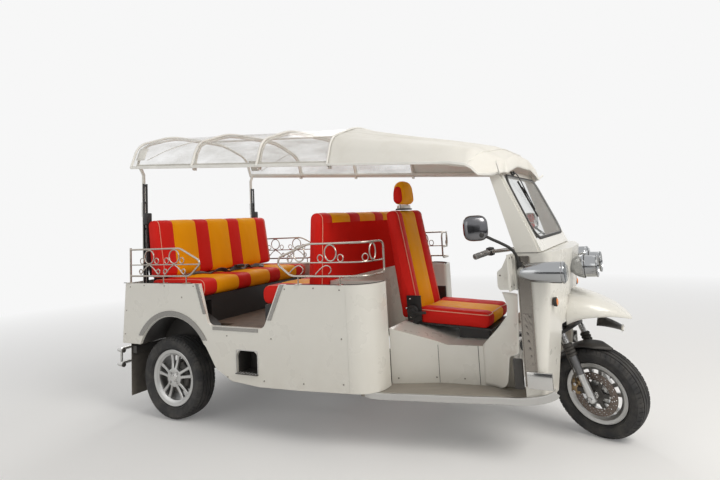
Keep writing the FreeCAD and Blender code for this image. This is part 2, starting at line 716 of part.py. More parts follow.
def make_step_boxes():
    # the foot step: a box let into the side, with a bright tread on its lower lip
    half = num("step_width") / 2
    x = along(num("step_x"))
    low = num("step_z")
    tall = num("step_height")
    deep = num("step_depth")
    inner = -HALF + WALL + GAP
    wall = 4
    outer_box = Part.makeBox(2 * half + 2 * wall, deep, tall + 2 * wall, V(x - half - wall, inner, low - wall))
    room = Part.makeBox(2 * half, deep - wall, tall, V(x - half, inner, low))
    tread = Part.makeBox(2 * half - 4, 46, 5, V(x - half + 2, -HALF - 14, low + GAP))
    keep(shaped(both(outer_box.cut(room).fuse(tread))), "step_boxes")


def make_tail_end():
    # mud flaps behind the wheels and a two-tube rear bumper
    rear = along(-375) - 5 - GAP
    flap = Part.makeBox(5, 185, num("rear_bottom") - 125, V(rear, -HALF + WALL + 3, 122))
    keep(shaped(both(flap)), "mud_flaps")
    x = along(num("bumper_x"))
    half = num("bumper_half_width")
    bars = []
    for z in (400, 300):
        bars.append(pipe([(x + 70, -half, z), (x, -half, z), (x, half, z), (x + 70, half, z)], 13, 34))
    for side in (-1, 1):
        for y in (half - 34, 330):
            bars.append(Part.makeCylinder(9, 110, V(x, side * y, 295), V(0, 0, 1)))
        arm = Part.makeBox(along(-380) - x + 4, 40, 30, V(x - 2, side * num("rail_y") - 20, 385))
        bars.append(arm)
    keep(shaped(united(bars).cut(Part.makeBox(60, 2000, 200, V(along(-380) - GAP, -1000, 300)))), "rear_bumper")


# Passenger seats

def slab(points, y_low, y_high):
    return prism([(along(x), y_low, z) for x, z in points], (0, y_high - y_low, 0))


def padded_profile(points, half, round_edge):
    # a padded piece: its side outline across the vehicle, with rounded long edges
    solid = slab(points, -half, half)
    edges = [edge for edge in solid.Edges if abs(edge.tangentAt(edge.FirstParameter).y) > 0.99]
    return solid.makeFillet(round_edge, edges)


def make_rear_bench():
    half = num("bench_half_width")
    low = num("rear_cushion_z")
    high = low + num("cushion_thick")
    front = num("rear_cushion_front_x")
    foot = num("rear_back_foot_x")
    lean = num("back_lean")
    top = num("back_top")
    thick = num("back_thick")
    base_half = HALF - 225 - GAP
    base = slab([(-378, num("floor_top") + GAP), (front - 40, num("floor_top") + GAP), (front - 40, low - SOFT),
                 (-378, low - SOFT)], -base_half, base_half)
    ledge_half = num("post_y - tube") - 4
    ledge = slab([(-378, low - 32), (front - 40, low - 32), (front - 40, low - SOFT), (-378, low - SOFT)],
                 -ledge_half, ledge_half)
    keep(shaped(base.fuse(ledge)), "rear_bench_base")
    end = foot - thick + 4
    keep(shaped(padded_profile([(end, low), (front, low), (front, high), (end, high)], half, 30)),
         "rear_bench_cushion")
    back = [(foot, high + SOFT), (foot - lean, top), (foot - thick - 10 - (lean - 30), top),
            (foot - thick - 10, high + SOFT)]
    keep(shaped(padded_profile(back, half, 34)), "rear_bench_back")
    slant = (lean - 30) / (top - high)
    rear_face = [(foot - thick - 10 - SOFT - slant * (z - high), z) for z in (low, top - 30)]
    frame = slab(rear_face + [(x - 16, z) for x, z in reversed(rear_face)], -half + 50, half - 50)
    keep(shaped(frame), "rear_back_board")


def make_middle_bench():
    half = num("bench_half_width") - 10
    low = num("mid_cushion_z")
    high = low + num("cushion_thick")
    rear = num("mid_cushion_x")
    depth = num("mid_cushion_depth")
    top = num("mid_back_top")
    front = num("bulkhead_x") - GAP
    base = slab([(rear + 30, num("floor_top") + GAP), (front, num("floor_top") + GAP), (front, low - SOFT),
                 (rear + 30, low - SOFT)], -half, half)
    keep(shaped(base), "middle_bench_base")
    keep(shaped(padded_profile([(rear, low), (rear + depth, low), (rear + depth, high), (rear, high)], half, 30)),
         "middle_bench_cushion")
    # the backrest leans forward over the bulkhead
    foot = rear + depth + SOFT
    back_thick = 90
    back = [(foot, low), (foot + 40, top), (foot + 40 + back_thick, top), (foot + back_thick, low)]
    keep(shaped(padded_profile(back, half, 34)), "middle_bench_back")


# Driver's place

def make_console():
    # a moulded box between the driver's feet: its plan and its side outline, hollow from below
    def solid(inset, low):
        half = num("console_half_width") - inset
        waist = num("console_waist") - inset
        nose = num("console_nose") - inset
        rear = num("console_rear_x") + inset
        front = num("console_front_x") - inset
        mid = num("console_waist_x")
        plan = [(rear, -half), (mid, -waist), (front, -nose), (front, nose), (mid, waist), (rear, half)]
        tall = prism([(along(x), y, low) for x, y in plan], (0, 0, 600))
        top = num("console_top") - inset
        rear_top = num("console_rear_top") - inset
        shape = [(rear, low), (front, low), (front, top), (rear + 300, top), (rear, rear_top)]
        return tall.common(slab(shape, -600, 600))
    skin = num("skin")
    low = num("console_bottom")
    wall = solid(0, low).cut(solid(skin, low - 20))
    # the backbone and the head pass through the front wall
    gate = Part.makeBox(200, 140, 400, V(along(num("console_front_x")) - 140, -70, low))
    rear_gate = Part.makeBox(60, 80, num("rail_bottom") + 70 - low, V(along(num("console_rear_x")) - 20, -40, low - 1))
    keep(shaped(wall.cut(gate).cut(rear_gate)), "driver_console")


def make_running_boards():
    # boards beside the console; their inner edges run in under its walls
    lap = 20
    half = [(1400, -640), (1500, -655), (1960, -560), (2240, -470), (2300, -400), (2300, -330), (2245, -300),
            (num("console_front_x"), lap - num("console_nose")), (num("console_waist_x"), lap - num("console_waist")),
            (num("console_rear_x"), lap - num("console_half_width")), (1400, -475)]
    thick = num("board_thick")
    board = prism([(along(x), y, num("console_bottom") - GAP - thick) for x, y in half], (0, 0, thick))
    keep(shaped(both(board)), "running_boards")


def make_driver_seat():
    half = num("seat_half_width")
    rear = num("seat_x")
    depth = num("seat_depth")
    low = num("seat_z")
    thick = num("seat_thick")
    top = num("seat_back_top")
    fall = num("seat_fall")

    def under(x, depth_below=0):
        return (x, low - SOFT - depth_below - fall * (x - rear) / depth)

    # runners and a cross bar on the console, the pan, rear legs and the recliner's two side plates
    front = rear + depth - 60
    floor = num("console_top") + GAP
    runners = [slab([under(rear + 230, 8), under(front, 8), (front, floor), (rear + 230, floor)], side * 150 - 20,
                    side * 150 + 20) for side in (-1, 1)]
    bar = slab([under(rear + 300, 8), under(rear + 330, 8), under(rear + 330, 34), under(rear + 300, 34)], -150, 150)
    pan = slab([under(rear - 20), under(rear + depth - 30), under(rear + depth - 30, 10), under(rear - 20, 10)],
               15 - half, half - 15)
    legs = slab([under(rear + 12), under(rear + 42), (rear + 42, 0), (rear + 12, 0)], -150, 150)
    back_foot = num("console_rear_top") + 6
    plates = [Part.makeBox(90, 12, 150, V(along(rear - 70), side * (half + 8) - 6, back_foot - 8))
              for side in (-1, 1)]
    link = Part.makeBox(38, 2 * half + 16, 24 - SOFT, V(along(rear - 40), -half - 8, back_foot - 24))
    base = united([pan, bar, legs, link] + runners + plates).cut(make_console_room())
    keep(shaped(base), "driver_seat_base")
    cushion = [(rear + SOFT, low), (rear + depth, low - fall), (rear + depth, low + thick - 2 * fall),
               (rear + SOFT, low + thick)]
    keep(shaped(padded_profile(cushion, half, 26)), "driver_cushion")
    back = [(rear - 118, back_foot), (rear - SOFT, back_foot), (rear - 118, top), (rear - 196, top)]
    keep(shaped(padded_profile(back, half, 24)), "driver_back")
    head = num("headrest_z")
    tall = num("headrest_height")
    pad = padded_profile([(rear - 190, head), (rear - 110, head), (rear - 116, head + tall), (rear - 184, head + tall)],
                         120, 22)
    posts = [Part.makeCylinder(6, head - top + 6 - SOFT, V(along(rear - 155), side * 60, top + SOFT), V(0, 0, 1))
             for side in (-1, 1)]
    keep(shaped(united([pad] + posts)), "driver_headrest")


def make_console_room():
    # the space below the console's sloping top, which the seat's legs stand on
    rear = num("console_rear_x")
    top = num("console_top")
    rear_top = num("console_rear_top")
    return slab([(rear, 0), (rear + 800, 0), (rear + 800, top + GAP), (rear + 300, top + GAP),
                 (rear, rear_top + GAP)], -700, 700)


# Front shell, windscreen and lamps

def shell_section(z, inset, back=0):
    # one level of the front shell seen from above
    low = num("shell_bottom")
    high = num("shell_top")
    share = (z - low) / (high - low)
    half = num("shell_half_width") - inset
    face = num("shell_face_x") - 80 * (1 - share) - inset
    nose = num("shell_nose_x") - 105 * (1 - share) - inset
    rear = num("shell_x") - back
    loop = [(rear, -half, 0), (face, -half + 6, 45 - inset), (nose, -150, 90 - inset), (nose, 150, 90 - inset),
            (face, half - 6, 45 - inset), (rear, half, 0)]
    return rounded_loop(loop, z)


def shell_solid(inset, back=0, below=0):
    # the front shell as a block, drawn in by an inset, open to the rear or below where asked
    return Part.makeLoft([shell_section(num("shell_bottom") - below, inset, back),
                          shell_section(num("shell_top") - max(inset, 0), inset, back)], True, True)


def make_front_shell():
    low = num("shell_bottom")
    high = num("shell_top")
    rear = along(num("shell_x"))
    well_half = num("well_half_width")
    well = Part.makeBox(900, 2 * well_half, num("well_top") - low + 20, V(rear - 50, -well_half, low - 20))
    # the fork passes below the beak
    fork_way = Part.makeBox(900, 370, 150, V(rear + 60, -185, num("well_top") - 10))
    # the top is open behind the windscreen's foot
    cockpit = Part.makeBox(200, 860, 80, V(rear - 120, -430, high - 40))
    shell = shell_solid(0).cut(shell_solid(num("skin"), 30, 10))
    for room in (well, fork_way, cockpit):
        shell = shell.cut(room)
    keep(shaped(shell), "front_shell")


def screen_point(up, side, out=0):
    # a point of the windscreen's plane: up its slope from the foot, to the side, and out of it
    lean = math.radians(num("screen_lean"))
    return (along(num("screen_foot_x")) - up * math.sin(lean) + out * math.cos(lean), side,
            num("screen_foot_z") + up * math.cos(lean) + out * math.sin(lean))


def screen_slab(low, high, foot_half, top_half, out_low, out_high):
    lean = math.radians(num("screen_lean"))
    points = [screen_point(low, -foot_half, out_low), screen_point(low, foot_half, out_low),
              screen_point(high, top_half, out_low), screen_point(high, -top_half, out_low)]
    push = out_high - out_low
    return prism(points, (push * math.cos(lean), 0, push * math.sin(lean)))


def make_windscreen():
    border = num("screen_border")
    foot = num("screen_foot_half")
    top = num("screen_top_half")
    height = num("screen_height")
    outer = screen_slab(-62, height + border, foot + border + 4, top + border, -26, 0)
    hole = screen_slab(0, height, foot, top, -60, 40)
    frame = outer.cut(hole)
    # side plates of the windscreen pillars, closer together at the top
    low = num("shell_top") + GAP
    high = screen_point(height + border, 0)[2]
    for side in (-1, 1):
        profile = [(along(2262), low), (along(2372), low), screen_point(0, 0, -10)[::2],
                   screen_point(height + border, 0, -10)[::2], screen_point(height + border, 0, -56)[::2]]
        taper = (foot - top) / (high - low)
        points = [(x, side * (foot + border - taper * (z - low)), z) for x, z in profile]
        frame = frame.fuse(prism(points, (0, side * 14, 0)))
    scuttle = Part.makeBox(1200, 1400, low, V(along(1800), -700, 0))
    keep(shaped(frame.cut(scuttle)), "windscreen_frame")
    gap = GAP
    keep(shaped(screen_slab(gap, height - gap, foot - gap, top - gap, -16, -11)), "windscreen_glass")
    pivot = screen_point(height + 14, -200, GAP)
    arm_end = screen_point(height - 130, -160, 12)
    spindle = Part.makeCylinder(12, 16, V(*pivot), V(*screen_point(0, 0, 1)).sub(V(*screen_point(0, 0, 0))))
    out = V(*screen_point(0, 0, 1)).sub(V(*screen_point(0, 0, 0)))
    start = V(*pivot) + out * 10
    arm = Part.makeCylinder(4, (V(*arm_end) - start).Length, start, V(*arm_end) - start)
    low_end = V(*screen_point(height - 300, -150, 8))
    high_end = V(*screen_point(height - 30, -176, 8))
    blade = Part.makeCylinder(5, (high_end - low_end).Length, low_end, high_end - low_end)
    keep(shaped(united([spindle, arm, blade])), "wiper")


def make_pillar_plates():
    # bright plates on the shell's sides, with a foot box, and the painted wings behind them
    half = num("shell_half_width")
    x = num("shell_x")
    plate_shape = prism([(along(x + 2), -half - 4 - GAP, 378), (along(x + 62), -half - 4 - GAP, 378),
                         (along(x + 66), -half - 4 - GAP, 1014), (along(x + 6), -half - 4 - GAP, 1014)], (0, 4, 0))
    keep(shaped(both(plate_shape)), "pillar_plates")
    wing = Part.makeBox(10, 92, 178, V(along(x - 24), -half - 92, 850))
    flange = Part.makeBox(24 - GAP, 24, 178, V(along(x - 24), -half - 8, 850))
    keep(shaped(both(wing.fuse(flange))), "pillar_wings")


def turned_along(profile):
    # a solid of revolution about X from (along the axis, radius) corners
    corners = [V(x, 0, radius) for x, radius in profile]
    return Part.Face(Part.makePolygon(corners + corners[:1])).revolve(V(), V(1, 0, 0), 360)


def make_lamps():
    nose = num("shell_nose_x")
    y = num("lamp_y")
    z = num("lamp_z")
    radius = num("lamp_radius")
    back = along(nose + 1)
    seat = shell_solid(-GAP)
    foot = Part.makeCylinder(radius * 0.7, 46, V(back - 44, -y, z), V(1, 0, 0)).cut(seat)
    bowl = Part.makeCone(radius * 0.86, radius + 6, 44, V(back, -y, z), V(1, 0, 0)).fuse(foot)
    ring = Part.makeCylinder(radius + 6, 10, V(back + 44, -y, z), V(1, 0, 0))
    barrel = Part.makeCylinder(radius, 66, V(back + 50, -y, z), V(1, 0, 0))
    mouth = Part.makeCylinder(radius - 5, 40, V(back + 84, -y, z), V(1, 0, 0))
    keep(shaped(both(bowl.fuse(ring).fuse(barrel).cut(mouth))), "headlamps")
    lens = Part.makeCylinder(radius - 5 - GAP, 8, V(back + 84 + GAP, -y, z), V(1, 0, 0))
    keep(shaped(both(lens)), "headlamp_lenses")
    # bullet-shaped turn signals, pointed to the rear
    pod_y = num("pod_y")
    pod_z = num("pod_z")
    x = along(2271)
    outline = [(0, 0), (14, 12), (80, 35), (170, 51), (222, 51), (240, 30), (240, 0)]
    pod = turned_along(outline)
    pod.translate(V(x, -pod_y - 14, pod_z))
    stem = Part.makeCylinder(13, 60, V(along(2345), -pod_y, pod_z), V(0, 1, 0)).cut(seat)
    keep(shaped(both(pod.fuse(stem))), "turn_signals")
    marker = Part.makeCylinder(20, 60, V(along(num("shell_face_x")) - 50, -430, 780), V(1, 0, 0)).cut(seat)
    keep(shaped(both(marker)), "front_markers")


def make_beak():
    # the fixed front mudguard: an arched beak that runs out to a point, hollow below
    stations = [
        # distance ahead of the axle, half width, top, lower edge
        (2430, 200, 800, 640),
        (2510, 196, 782, 655),
        (2600, 168, 748, 662),
        (2680, 112, 704, 655),
        (2738, 30, 652, 634),
    ]
    def section(x, half, top, low, inset):
        half -= inset
        top -= inset
        crown = 0.35 * (top - low)
        arch = Part.Arc(V(along(x), -half, top - crown), V(along(x), 0, top), V(along(x), half, top - crown))
        sides = [Part.LineSegment(V(along(x), half, top - crown), V(along(x), half, low)),
                 Part.LineSegment(V(along(x), half, low), V(along(x), -half, low)),
                 Part.LineSegment(V(along(x), -half, low), V(along(x), -half, top - crown))]
        return Part.Wire([item.toShape() for item in [arch] + sides])
    outer = Part.makeLoft([section(*row, 0) for row in stations], True, True)
    inner_rows = [(x, half, top, low - 30) for x, half, top, low in stations[:4]]
    inner = Part.makeLoft([section(*row, 7) for row in inner_rows], True, True)
    beak = outer.cut(inner)
    back = shell_solid(-GAP, 300)
    keep(shaped(beak.cut(back)), "beak_mudguard")


def make_mirrors():
    out = num("mirror_y")
    root = num("screen_foot_half + screen_border") + 14
    arm = pipe([(along(2285), -root - 12, 1052), (along(2262), -root - 44, 1062), (along(2190), -out + 60, 1100),
                (along(2128), -out + 60, 1140)], 6)
    glass = Part.makeBox(16, 120, 112, V(along(2118), -out, 1112))
    boss = Part.makeCylinder(14, 16, V(along(2285), -root - 15.5, 1052), V(0, 1, 0))
    keep(shaped(both(united([arm, glass, boss]))), "mirrors")


# Front end, built straight and then turned to its parked angle

def steered(shape, label):
    body = shaped(shape)
    body.Placement = STEERED
    return keep(body, label)


def make_fork():
    reach = num("front_tyre_width") / 2 + 40
    pieces = []
    for side in (-1, 1):
        y = side * reach
        pieces.append(Part.makeCylinder(22, 260, on_fork(OFFSET, y, -22), AXIS_UP))
        pieces.append(Part.makeCylinder(15, 250, on_fork(OFFSET, y, 230), AXIS_UP))
    for up in (LOWER_YOKE, UPPER_YOKE):
        plate_points = [on_fork(-34, -reach - 26, up), on_fork(-34, reach + 26, up),
                        on_fork(OFFSET + 24, reach + 26, up), on_fork(OFFSET + 24, -reach - 26, up)]
        pieces.append(prism([tuple(p) for p in plate_points], tuple(AXIS_UP * YOKE)))
    low = LOWER_YOKE + YOKE / 2
    pieces.append(Part.makeCylinder(17, num("bar_height") - 20 - low, on_fork(0, 0, low), AXIS_UP))
    # axle pin through both legs
    pieces.append(Part.makeCylinder(12 - GAP, 2 * reach + 30, HUB - V(0, reach + 15, 0), V(0, 1, 0)))
    caliper = Part.makeBox(52, 18, 74, HUB + V(-122, -75, -4))
    bracket = Part.makeBox(80, 24, 24, HUB + V(-80, -98, 10))
    steered(united(pieces + [caliper, bracket]), "fork")
    # small mudguard on the fork
    radius = num("front_tyre_radius") + 16
    half = num("front_tyre_width") / 2 - 4
    guard = Part.makeCylinder(radius + 4, 2 * half, HUB - V(0, half, 0), V(0, 1, 0))
    guard = guard.cut(Part.makeCylinder(radius, 2 * half, HUB - V(0, half, 0), V(0, 1, 0)))
    wedge = prism([tuple(HUB + V(0, -200, 0)), tuple(HUB + V(330, -200, 400)), tuple(HUB + V(-260, -200, 400))],
                  (0, 400, 0))
    strap = prism([tuple(on_fork(OFFSET - 16, -reach - 6, radius + 2)), tuple(on_fork(OFFSET + 16, -reach - 6, radius + 2)),
                   tuple(on_fork(OFFSET + 16, reach + 6, radius + 2)), tuple(on_fork(OFFSET - 16, reach + 6, radius + 2))],
                  tuple(AXIS_UP * 4))
    guard = guard.common(wedge).fuse(strap)
    for side in (-1, 1):
        guard = guard.cut(Part.makeCylinder(15 + GAP, 300, on_fork(OFFSET, side * reach, 200), AXIS_UP))
    steered(guard, "small_mudguard")


def make_handlebar():
    up = num("bar_height")
    half = num("bar_half_width")
    sweep = num("bar_sweep")
    points = [on_fork(-sweep, -half, up + 40), on_fork(-sweep + 20, -half + 110, up + 40), on_fork(10, -110, up),
              on_fork(10, 110, up), on_fork(-sweep + 20, half - 110, up + 40), on_fork(-sweep, half, up + 40)]
    bar = pipe([tuple(p) for p in points], 11, 45)
    clamp = Part.makeCylinder(26, 36, on_fork(0, 0, up - 20 + GAP), AXIS_UP)
    pieces = [bar, clamp]
    grip = num("grip_radius")
    for side in (-1, 1):
        end = on_fork(-sweep, side * half, up + 40)
        start = on_fork(-sweep + 20, side * (half - 110), up + 40)
        pieces.append(Part.makeCylinder(grip, (start - end).Length, end, start - end))
    steered(united(pieces), "handlebar")


# Roof

def roof_edge(x):
    # height of the roof rail, which falls towards the front
    return num("roof_rear_z") - num("roof_drop") * x / 1000


def roof_rise(x):
    # the crown flattens towards the windscreen
    return num("roof_rise") - max(0, x - num("canopy_seam_x")) * 0.165


def arch_points(x, half, base, rise):
    # corners of the roof's cross section, before they are rounded
    return [(x, -half, base), (x, -half * 0.9, base + rise * 0.63), (x, -half * 0.42, base + rise),
            (x, half * 0.42, base + rise), (x, half * 0.9, base + rise * 0.63), (x, half, base)]


def arch_bends(half, rise, inset=0):
    # radii of the shoulders and of the crown
    shoulder = rise * 0.56
    crown = half * 0.95
    return [shoulder - inset, crown - inset, crown - inset, shoulder - inset]


def arch_path(x, half, base, rise, inset=0):
    return path(arch_points(along(x), half - inset, base, rise - inset), arch_bends(half, rise, inset))


def make_roof_frame():
    tube = num("tube")
    half = num("roof_half_width")
    post_x = num("post_x")
    pieces = []
    # each rail ends in a shoe on the windscreen's upper edge
    top_edge = num("screen_height") + num("screen_border") + GAP
    top_half = num("screen_top_half")
    shoe = prism([screen_point(top_edge, y, out) for y, out in (
        (-top_half - 30, -31), (-top_half - 30, 5), (30 - top_half, 5), (30 - top_half, -31))],
        V(*screen_point(32, 0)) - V(*screen_point(0, 0)))
    right = pipe([(along(-380), -half, roof_edge(-380)), (along(1900), -half, roof_edge(1900)),
                  screen_point(top_edge + 16, -top_half, -13)], tube)
    # the rear posts stand on the chassis and bend out to the rails
    seat = num("rail_bottom + rail_height") - 5 + GAP
    eaves = roof_edge(post_x)
    post = pipe([(along(post_x), -num("post_y"), seat), (along(post_x), -num("post_y"), eaves - 60),
                 (along(post_x), -half, eaves)], tube - 2)
    pieces += [right, post, shoe]
    pieces += [piece.mirror(V(), V(0, 1, 0)) for piece in (right, post, shoe)]
    # bows and a ridge tube just below the canopy
    bow = 9
    inset = num("canopy_thick") + bow + 2
    canopy_half = num("canopy_half_width")
    ridge = []
    for x in (-380, 190, 745, num("canopy_seam_x"), 1900):
        base = roof_edge(x) - 12
        rise = roof_rise(x) + 12
        rise -= 3 if x > num("canopy_seam_x") else 0
        arch = arch_points(along(x), canopy_half - inset, base, rise - inset)
        arch[0] = (along(x), -half, roof_edge(x))
        arch[-1] = (along(x), half, roof_edge(x))
        pieces.append(pipe(arch, bow, arch_bends(canopy_half, rise, inset)))
        ridge.append((along(x), 0, base + rise - inset))
    pieces.append(pipe([ridge[0], ridge[3], ridge[4]], bow - 2))
    frame = pieces[0].multiFuse(pieces[1:])
    keep(shaped(frame), "roof_frame")


def start_of(edge):
    return edge.valueAt(edge.FirstParameter)


def end_of(edge):
    return edge.valueAt(edge.LastParameter)


def reverse_edge(edge):
    if edge.Curve.TypeId == "Part::GeomLine":
        return Part.LineSegment(end_of(edge), start_of(edge)).toShape()
    middle = edge.valueAt((edge.FirstParameter + edge.LastParameter) / 2)
    return Part.Arc(end_of(edge), middle, start_of(edge)).toShape()


def canopy_piece(stations):
    # a curved sheet through a few cross sections
    thick = num("canopy_thick")
    half = num("canopy_half_width")
    wires = []
    for x, narrow, drop, rise_change in stations:
        base = roof_edge(x) - 12 - drop
        rise = roof_rise(x) + 12 + drop + rise_change
        outer = arch_path(x, half - narrow, base, rise).Edges
        inner = arch_path(x, half - narrow, base, rise, thick).Edges
        turned = [reverse_edge(edge) for edge in reversed(inner)]
        ends = [Part.LineSegment(end_of(outer[-1]), end_of(inner[-1])).toShape(),
                Part.LineSegment(start_of(inner[0]), start_of(outer[0])).toShape()]
        wires.append(Part.Wire(outer + ends[:1] + turned + ends[1:]))
    return Part.makeLoft(wires, True, True)


def make_canopy():
    # columns: distance ahead of the axle, narrowing, extra depth at the edge, change of the crown
    clear = [(num("canopy_rear_x"), 0, 0, 0), (190, 0, 0, 0), (745, 0, 0, 0), (num("canopy_seam_x"), 0, 0, 0)]
    keep(shaped(canopy_piece(clear)), "canopy_clear")
    front = (num("canopy_front_x"), 190, -60, 14)
    canvas = [(num("canopy_seam_x") + 0.5, 0, 0, 0), (1500, 0, 0, 0), (1900, 0, 0, 0), (2130, 12, -18, 0), front]
    # the front end is closed above the windscreen as a visor
    x, narrow, drop, rise_change = front
    half = num("canopy_half_width") - narrow
    arch = arch_path(x, half, roof_edge(x) - 12 - drop, roof_rise(x) + 12 + drop + rise_change).Edges
    foot = Part.LineSegment(end_of(arch[-1]), start_of(arch[0])).toShape()
    visor = Part.Face(Part.Wire(arch + [foot])).extrude(V(-num("canopy_thick"), 0, 0))
    keep(shaped(canopy_piece(canvas).fuse(visor)), "canopy_canvas")


def make_side_rails():
    # ornamental rails on top of the sides: three bars, rings and scrolls
    bar = num("rail_tube")
    y = -num("side_rail_y")
    top = num("side_rail_top")
    mid = num("side_rail_mid")
    low = num("side_rail_low")
    rear_x = -366
    # each bar as places ahead of the axle, with the tip of the loop at mid height
    tip = (312, y, mid + 14)
    upper = pipe([(along(x), side, z) for x, side, z in [(rear_x, y, top), (115, y, top), tip, (200, y, low),
                                                         (rear_x, y, low)]], bar, 12)
    middle = Part.makeCylinder(bar - 2, tip[0] - 12 - rear_x, V(along(rear_x), y, mid), V(1, 0, 0))
    stand = Part.makeCylinder(bar + 2, top - TOP + bar + 3, V(along(rear_x), y, TOP), V(0, 0, 1))
    pieces = [upper, middle, stand] + [rail_ring(x, y) for x in (-177, 61)]
    pieces += [rail_foot(x, y) for x in (-40, 170)]
    keep(shaped(both(united(pieces))), "side_rails_rear")
    # the front rail goes round the curved corner of the tub
    corner = num("corner_radius")
    end_x = num("panel_front_x") + corner - (HALF + y)
    tip_x = 915
    across = y + corner + 60
    loop = pipe([(along(x), side, z) for x, side, z in [
        (end_x, across, top), (end_x - 18, y + 40, top), (end_x - 62, y + 6, top), (end_x - 110, y, top),
        (1134, y, top), (tip_x + 16, y, mid + 34), (tip_x, y, mid), (1010, y, low), (end_x - 110, y, low),
        (end_x - 62, y + 6, low), (end_x - 18, y + 40, low), (end_x, across, low)]], bar)
    middle = pipe([(along(x), side, mid) for x, side in [
        (tip_x + 4, y), (end_x - 110, y), (end_x - 62, y + 6), (end_x - 18, y + 40), (end_x, across)]], bar - 2)
    stand = Part.makeCylinder(bar + 2, top - TOP + bar + 3, V(along(end_x), across, TOP), V(0, 0, 1))
    pieces = [loop, middle, stand] + [rail_ring(x, y) for x in (1200, 1310)]
    pieces += [rail_foot(x, y) for x in (1060, 1340)]
    keep(shaped(both(united(pieces))), "side_rails_front")


def rail_foot(x, y):
    return Part.makeCylinder(9, num("side_rail_low") - TOP, V(along(x), y, TOP), V(0, 0, 1))


def rail_ring(x, y):
    middle = (num("side_rail_top") + num("side_rail_mid")) / 2
    outer = num("ring_radius") + 10
    ring = Part.makeCylinder(outer, 10, V(along(x), y - 5, middle), V(0, 1, 0))
    return ring.cut(Part.makeCylinder(outer - 10, 10, V(along(x), y - 5, middle), V(0, 1, 0)))


def make_belt_uprights():
    # black uprights beside the rear posts, which carry the lap belts' reels
    x = num("post_x")
    y = -num("post_y")
    low = num("rear_cushion_z")
    strap = Part.makeBox(10, 46, 860, V(along(x) + num("tube") - 2 + GAP, y - 23, low))
    keep(shaped(both(strap)), "belt_uprights")


make_wheels()
make_chassis()
make_rear_axle()
make_body_sides()
make_tub_front()
make_rear_panel()
make_floor()
make_arch_liners()
make_trims()
make_step_boxes()
make_tail_end()
make_rear_bench()
make_middle_bench()
make_console()
make_running_boards()
make_driver_seat()
make_front_shell()
make_windscreen()
make_pillar_plates()
make_lamps()
make_beak()
make_mirrors()
make_fork()
make_handlebar()
make_roof_frame()
make_canopy()
make_side_rails()
make_belt_uprights()

doc.recompute()
for thing in doc.Objects:
    if "Invalid" in thing.State or "Error" in thing.State:
        raise RuntimeError("failed: " + thing.Label)
for node in NODES:
    if node.Shape.isNull() or not node.Shape.isValid():
        raise RuntimeError("bad shape: " + node.Label)
os.makedirs("parts", exist_ok=True)
for node in NODES:
    node.Shape.exportStep("parts/" + node.Label + ".step")
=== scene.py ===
"""Looks of an open auto rickshaw with striped benches and a sheet canopy.

Run as a script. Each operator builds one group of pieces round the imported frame.
"""

import json
import math

import bmesh
import bpy
import numpy as np
from mathutils import Matrix, Vector, noise
from mathutils.bvhtree import BVHTree


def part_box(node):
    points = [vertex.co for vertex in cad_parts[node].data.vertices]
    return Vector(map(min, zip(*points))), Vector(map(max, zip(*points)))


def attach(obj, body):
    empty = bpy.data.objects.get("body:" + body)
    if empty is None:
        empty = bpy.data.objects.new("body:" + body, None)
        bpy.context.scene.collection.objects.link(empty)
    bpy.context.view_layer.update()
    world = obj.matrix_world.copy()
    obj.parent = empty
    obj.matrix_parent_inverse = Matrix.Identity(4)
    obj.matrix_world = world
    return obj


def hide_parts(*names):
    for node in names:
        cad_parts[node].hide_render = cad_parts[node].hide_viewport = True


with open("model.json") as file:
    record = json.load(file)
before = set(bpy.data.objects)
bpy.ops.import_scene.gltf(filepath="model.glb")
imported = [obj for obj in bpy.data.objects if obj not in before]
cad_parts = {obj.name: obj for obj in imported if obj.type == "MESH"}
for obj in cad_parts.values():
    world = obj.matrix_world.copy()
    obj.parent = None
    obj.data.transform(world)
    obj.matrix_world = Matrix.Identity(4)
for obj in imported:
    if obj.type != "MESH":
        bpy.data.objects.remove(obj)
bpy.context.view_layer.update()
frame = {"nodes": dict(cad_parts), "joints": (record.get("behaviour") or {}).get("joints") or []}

bl_info = {
    "name": "Auto rickshaw looks",
    "version": (1, 0, 0),
    "blender": (4, 5, 0),
    "location": "View3D > Sidebar > Rickshaw",
    "description": "Builds the visible pieces of an open auto rickshaw",
    "category": "Object",
}

# Places shared by many pieces, in metres. Distances "ahead" start at the rear axle line.
AXLE = -1.0848
SIDE = 0.720
BODY_TOP = 0.888
UP = Vector((0, 0, 1))
SIDES = (-1, 1)

# Steering: the front end is drawn straight and then turned to its parked angle.
RAKE = math.radians(20)
PARKED = math.radians(-21.3)
FORK_OFFSET = 0.045
joints = {joint["name"]: joint for joint in frame["joints"]}
AXIS_FOOT = Vector(joints["steering"]["pos_m"])
AXIS_UP = Vector((-math.sin(RAKE), 0, math.cos(RAKE)))
AXIS_FORE = Vector((math.cos(RAKE), 0, math.sin(RAKE)))
HUB = AXIS_FOOT + AXIS_FORE * FORK_OFFSET
STEERED = Matrix.Translation(AXIS_FOOT) @ Matrix.Rotation(PARKED, 4, AXIS_UP) @ Matrix.Translation(-AXIS_FOOT)

# Seams where the vinyl changes colour: distances from the middle of the benches, the seat and the headrest.
STRIPES = (0.110, 0.245, 0.467)
SEAT_STRIPE = (0.105,)
REST_STRIPE = (0.092,)


def ahead(distance):
    """Row x of a place that far ahead of the rear axle."""
    return AXLE + distance


def point(distance, side, height):
    """A point that far ahead of the rear axle, to the left and above the ground."""
    return Vector((AXLE + distance, side, height))


def placed(distance, side, height):
    """A placement at such a point."""
    return Matrix.Translation(point(distance, side, height))


def on_fork(fore, side, up):
    """A point of the straight front end: ahead of the steering axis, to the left, and up along it."""
    return AXIS_FOOT + AXIS_FORE * fore + Vector((0, side, 0)) + AXIS_UP * up


